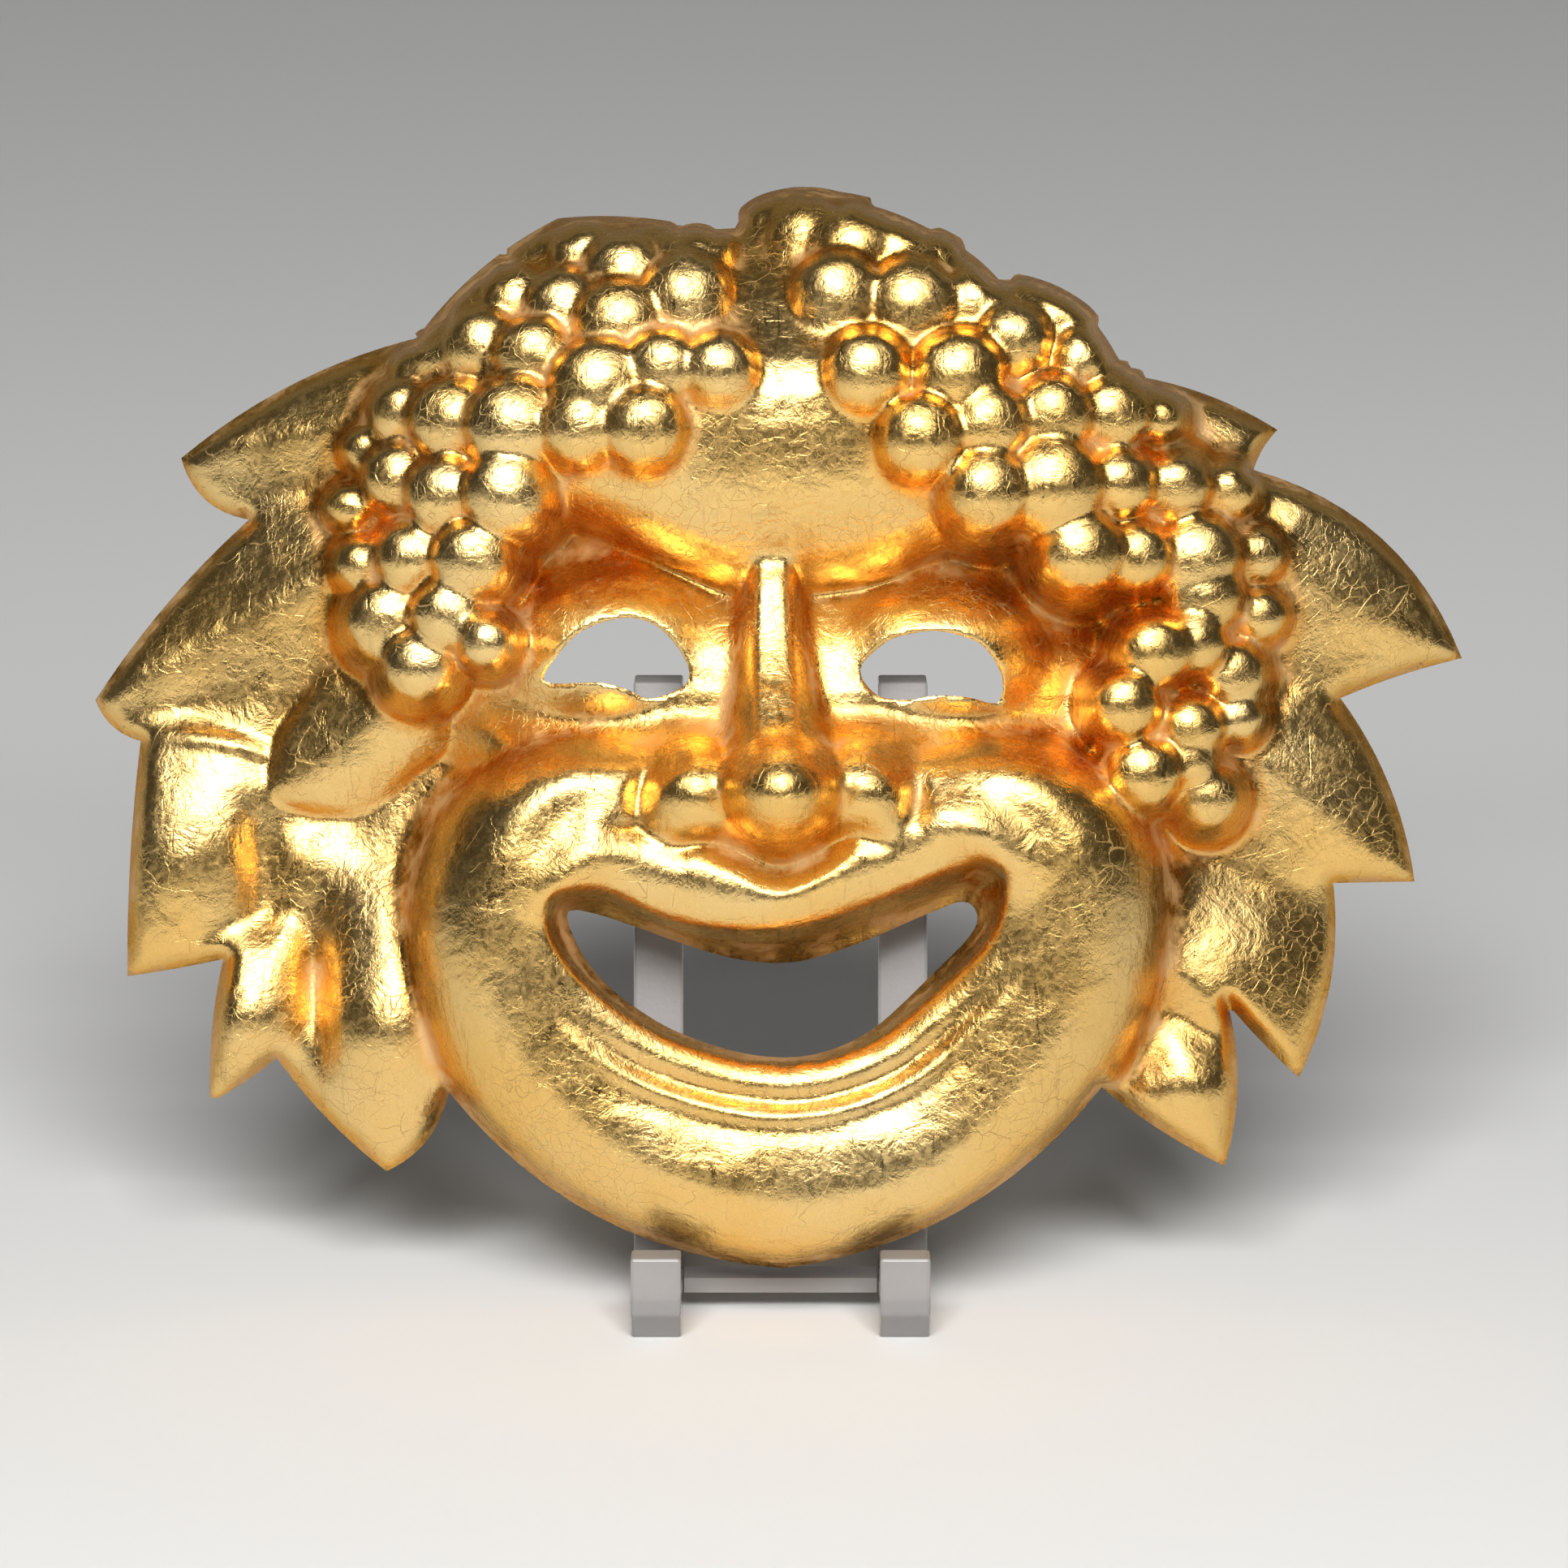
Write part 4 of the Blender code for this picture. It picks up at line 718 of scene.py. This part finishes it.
def placeMask(bm):
    # turned as the camera looks, then set where the solid mask stands; returns that place
    turn = Matrix.Rotation(-view["lift"], 4, "X")
    bmesh.ops.transform(bm, matrix=turn, verts=bm.verts[:])
    points = np.array([vertex.co for vertex in bm.verts])
    low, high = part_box("mask")
    place = (low + high) / 2 - Vector((points.min(0) + points.max(0)) / 2)
    bmesh.ops.translate(bm, vec=place, verts=bm.verts[:])
    return place


# materials
class Wire:
    # a value inside a material; sums and products of wires add Math nodes
    def __init__(self, paint, socket):
        self.paint, self.socket = paint, socket

    def math(self, operation, *others):
        return self.paint.add("Math", {"operation": operation}, dict(enumerate((self,) + others)))

    def __add__(self, other):
        return self.math("ADD", other)

    def __sub__(self, other):
        return self.math("SUBTRACT", other)

    def __rsub__(self, other):
        return self.paint.add("Math", {"operation": "SUBTRACT"}, {0: other, 1: self})

    def __mul__(self, other):
        return self.math("MULTIPLY", other)

    __radd__ = __add__
    __rmul__ = __mul__

    def above(self, start, end):
        # 0 below start, 1 above end, smooth between; the other way round when start is the greater
        settings = {"interpolation_type": "SMOOTHSTEP"}
        if start < end:
            return self.paint.add("MapRange", settings, {0: self, 1: start, 2: end, 3: 0, 4: 1})
        return self.paint.add("MapRange", settings, {0: self, 1: end, 2: start, 3: 1, 4: 0})


class Paint:
    def __init__(self, name):
        self.material = bpy.data.materials.new(name)
        self.material.use_nodes = True
        self.tree = self.material.node_tree
        self.shader = self.tree.nodes["Principled BSDF"]

    def add(self, kind, settings=None, values=None, output=0):
        node = self.tree.nodes.new("ShaderNode" + kind)
        for key, value in (settings or {}).items():
            setattr(node, key, value)
        self.fill(node, values or {})
        return Wire(self, node.outputs[output])

    def fill(self, node, values):
        for key, value in values.items():
            if isinstance(value, Wire):
                self.tree.links.new(value.socket, node.inputs[key])
            elif isinstance(value, tuple) and node.inputs[key].type == "RGBA":
                node.inputs[key].default_value = (*value, 1)
            else:
                node.inputs[key].default_value = value

    def mix(self, share, a, b):
        return self.add("Mix", {"data_type": "RGBA"}, {0: share, 6: a, 7: b}, 2)

    def place(self, stretch=None, turn=(0, 0, 0)):
        spot = self.add("TexCoord", output=3)
        if stretch is None:
            return spot
        return self.add("Mapping", {}, {"Vector": spot, "Scale": stretch, "Rotation": turn})

    def noise(self, scale, detail=4, roughness=0.5, where=None, warp=0.0):
        return self.add("TexNoise", {}, {"Vector": where or self.place(), "Scale": scale, "Detail": detail,
                                         "Roughness": roughness, "Distortion": warp})

    def cracks(self, scale, where):
        return self.add("TexVoronoi", {"feature": "DISTANCE_TO_EDGE"}, {"Vector": where, "Scale": scale})

    def attribute(self, name):
        return self.add("Attribute", {"attribute_name": name}, {}, 2)

    def finish(self, **values):
        self.fill(self.shader, {key.replace("_", " "): value for key, value in values.items()})
        return self.material


goldLeaf = {
    "leaf": (0.92, 0.58, 0.18),
    "paleLeaf": (0.92, 0.65, 0.27),
    "paintedHollowReflection": (0.85, 0.40, 0.07),  # painted reflection and shade: the orange of gold lit by gold, laid into the hollows
    "edge": (0.80, 0.62, 0.40),  # where the surface turns away
    "worn": (0.60, 0.42, 0.26),
    "grime": (0.16, 0.09, 0.025),  # in the cracks and scratches
    "paper": (0.66, 0.56, 0.42),  # the bare inside
    "roughness": 0.24,
    "bump": 0.0012,
    # the patterns, in repeats to the metre
    "patches": 24,
    "wear": 75,
    "specks": 520,
    "wideCracks": 130,
    "narrowCracks": 330,
    "strokes": 500,
    "crumple": 150,
    "wrinkles": 520,
}


def goldFinish():
    paint = Paint("goldLeaf")
    where = paint.place()
    hollow = paint.attribute("hollow")
    inside = paint.attribute("inside").above(0.4, 0.6)
    patches = paint.noise(goldLeaf["patches"], 3, 0.55, where)
    specks = paint.noise(goldLeaf["specks"], 5, 0.7, where, 0.5)
    # hairline cracks in the gesso, and the wrinkles of the leaf
    bent = paint.add("VectorMath", {"operation": "MULTIPLY_ADD"},
                     {0: paint.noise(90, 3, 0.6, where, 0.0), 1: (0.01, 0.01, 0.01), 2: where})
    wide = paint.cracks(goldLeaf["wideCracks"], bent).above(0.016, 0.004)
    narrow = paint.cracks(goldLeaf["narrowCracks"], bent).above(0.03, 0.008)
    wide = wide * paint.noise(55, 3, 0.6, where).above(0.52, 0.60)
    narrow = narrow * paint.noise(37, 2, 0.5, where).above(0.5, 0.58)
    cracks = wide.math("MAXIMUM", narrow * 0.6)
    lengthways = paint.place((1.0, 0.12, 0.12), (0.3, 0.5, 0.9))
    crossways = paint.place((0.12, 1.0, 0.12), (0.5, 0.2, -0.7))
    strokes = paint.noise(goldLeaf["strokes"], 4, 0.7, lengthways, 0.3)
    crossed = paint.noise(goldLeaf["strokes"], 4, 0.7, crossways, 0.3)
    scratches = strokes.above(0.60, 0.68).math("MAXIMUM", crossed.above(0.61, 0.69))
    colour = paint.mix(patches.above(0.35, 0.7), goldLeaf["leaf"], goldLeaf["paleLeaf"])
    # painted reflection and shade: the hollows are tinted towards orange, as if lit by the gold around
    # them
    colour = paint.mix(hollow.above(0.0, 0.8) * 0.6, colour, goldLeaf["paintedHollowReflection"])
    wornShare = hollow.above(0.2, 0.9) * paint.noise(goldLeaf["wear"], 4, 0.65, where).above(0.45, 0.65)
    colour = paint.mix(wornShare * 0.5, colour, goldLeaf["worn"])
    colour = paint.mix(cracks * 0.5, colour, goldLeaf["grime"])
    colour = paint.mix(scratches * 0.16, colour, goldLeaf["grime"])
    colour = paint.mix(inside, colour, goldLeaf["paper"])
    rough = goldLeaf["roughness"] + specks.above(0.42, 0.72) * 0.14 + wornShare * 0.2
    rough = rough + scratches * -0.1 + inside * 0.5
    metal = (1 - inside) * (1 - wornShare * 0.4) * (1 - cracks * 0.4)
    crumple = paint.noise(goldLeaf["crumple"], 5, 0.62, where, 0.9)
    wrinkles = paint.noise(goldLeaf["wrinkles"], 4, 0.65, where, 1.2)
    height = crumple * 0.55 + wrinkles * 0.16 + scratches * -0.05 + cracks * -0.08
    bump = paint.add("Bump", {}, {"Strength": 0.6, "Distance": goldLeaf["bump"], "Height": height})
    return paint.finish(Base_Color=colour, Roughness=rough, Metallic=metal, Normal=bump,
                        Specular_Tint=goldLeaf["edge"])


acrylic = {
    "tint": (0.46, 0.44, 0.43),
    "clear": 0.06,  # roughness of the sheet's faces
    "cut": 0.36,  # what the cut edges add to it
    "ior": 1.49,
    "through": 0.6,
}


def acrylicFinish():
    # sheet faces are polished, cut edges are satin
    paint = Paint("clearAcrylic")
    normal = paint.add("TexCoord", output=1)
    across = paint.add("SeparateXYZ", {}, {0: normal}, 0).math("ABSOLUTE")
    cutEdge = across.above(0.8, 0.5)
    speck = paint.noise(900, 4, 0.6)
    bump = paint.add("Bump", {}, {"Strength": 0.15, "Distance": 0.0004, "Height": speck})
    return paint.finish(Base_Color=acrylic["tint"], Roughness=cutEdge * acrylic["cut"] + acrylic["clear"],
                        Normal=bump, Transmission_Weight=acrylic["through"], IOR=acrylic["ior"])


# the table, the lights and the camera
studio = {
    "sheetHalf": 1.6, "sheetFront": -1.1, "bendStart": 0.55, "bendRadius": 0.9, "sheetUp": 1.2,
    # near and far colours of the sheet; the far one is painted shade, standing in for light falling off
    # towards the back
    "near": (0.83, 0.83, 0.82), "far": (0.17, 0.17, 0.17), "room": (0.05, 0.048, 0.045),
    "fade": (0.45, 1.42),  # where the painted shade on the sheet begins and ends, darkening it behind the mask as if less light reached there
    # each light's width and height, power, degrees up, distance, shift to the right, and whether
    # gloss and matt surfaces see it
    "softbox": {"size": (1.3, 1.05), "power": 10.5, "lift": 51, "away": 1.2, "side": 0.0,
                "gloss": True, "matt": False},
    "softboxCore": {"size": (0.5, 0.4), "power": 8, "lift": 50, "away": 1.18, "side": -0.1,
                    "gloss": True, "matt": False},
    "tableLight": {"size": (1.5, 0.7), "power": 160, "lift": 28, "away": 3.0, "side": 0.0,
                   "gloss": False, "matt": True},
}


def buildSweep():
    bm = bmesh.new()
    bmesh.ops.create_grid(bm, x_segments=2, y_segments=90, size=0.5)
    radius, start = studio["bendRadius"], studio["bendStart"]
    length = start - studio["sheetFront"] + radius * math.pi / 2 + studio["sheetUp"]
    for vertex in bm.verts:
        along = studio["sheetFront"] + (vertex.co.y + 0.5) * length
        bend = max(0.0, min((along - start) / radius, math.pi / 2))
        rise = max(0.0, along - start - radius * math.pi / 2)
        y = min(along, start) + radius * math.sin(bend)
        vertex.co = (vertex.co.x * 2 * studio["sheetHalf"], y, radius * (1 - math.cos(bend)) + rise)
    mesh = bpy.data.meshes.new("tableSweep")
    bm.to_mesh(mesh)
    bm.free()
    mesh.shade_smooth()
    paint = Paint("tablePaper")
    depth = paint.add("SeparateXYZ", {}, {0: paint.place()}, 1)
    # painted shade: the sheet darkens from near to far behind the mask, in place of light falling off
    paintedShadeToBack = paint.mix(depth.above(*studio["fade"]), studio["near"], studio["far"])
    mesh.materials.append(paint.finish(Base_Color=paintedShadeToBack, Roughness=0.7))
    sweep = bpy.data.objects.new("tableSweep", mesh)
    bpy.context.scene.collection.objects.link(sweep)


def addLight(name, target):
    # from the front, above the camera
    values = studio[name]
    light = bpy.data.lights.new(name, "AREA")
    light.shape = "RECTANGLE"
    light.size, light.size_y = values["size"]
    light.energy = values["power"]
    lamp = bpy.data.objects.new(name, light)
    lift = math.radians(values["lift"])
    direction = Vector((values["side"] / values["away"], -math.cos(lift), math.sin(lift))).normalized()
    lamp.location = target + direction * values["away"]
    lamp.visible_glossy = values["gloss"]
    lamp.visible_diffuse = values["matt"]
    lamp.rotation_euler = direction.to_track_quat("Z", "Y").to_euler()
    bpy.context.scene.collection.objects.link(lamp)


def addCamera(place):
    camera = bpy.data.cameras.new("camera")
    eye = bpy.data.objects.new("camera", camera)
    bpy.context.scene.collection.objects.link(eye)
    camera.sensor_width = view["sensor"]
    camera.lens = view["sensor"] * view["distance"] / view["frameWidth"]
    back = Vector((0, -math.cos(view["lift"]), math.sin(view["lift"])))
    eye.location = place + back * (view["distance"] - maskForm["rimDrop"]) * 0.001
    eye.rotation_euler = back.to_track_quat("Z", "Y").to_euler()
    bpy.context.scene.camera = eye


maskSolid = buildMask()
place = placeMask(maskSolid)
mask = pieceFrom(maskSolid, "gildedMask", goldFinish())
thinInside(mask)
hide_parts("mask")
print("mask built,", len(mask.data.polygons), "faces")

easelFinish = acrylicFinish()
for name in ("easel_side_left", "easel_side_right", "easel_crossbar"):
    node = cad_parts[name]
    node.data.materials.clear()
    node.data.materials.append(easelFinish)
print("easel finished")

buildSweep()
middle = (cadBox[0] + cadBox[1]) / 2
for name in ("softbox", "softboxCore", "tableLight"):
    addLight(name, middle)
world = bpy.data.worlds.new("room")
world.use_nodes = True
world.node_tree.nodes["Background"].inputs["Color"].default_value = (*studio["room"], 1)
bpy.context.scene.world = world
bpy.context.scene.view_settings.view_transform = "Standard"
addCamera(place)
print("studio lit")
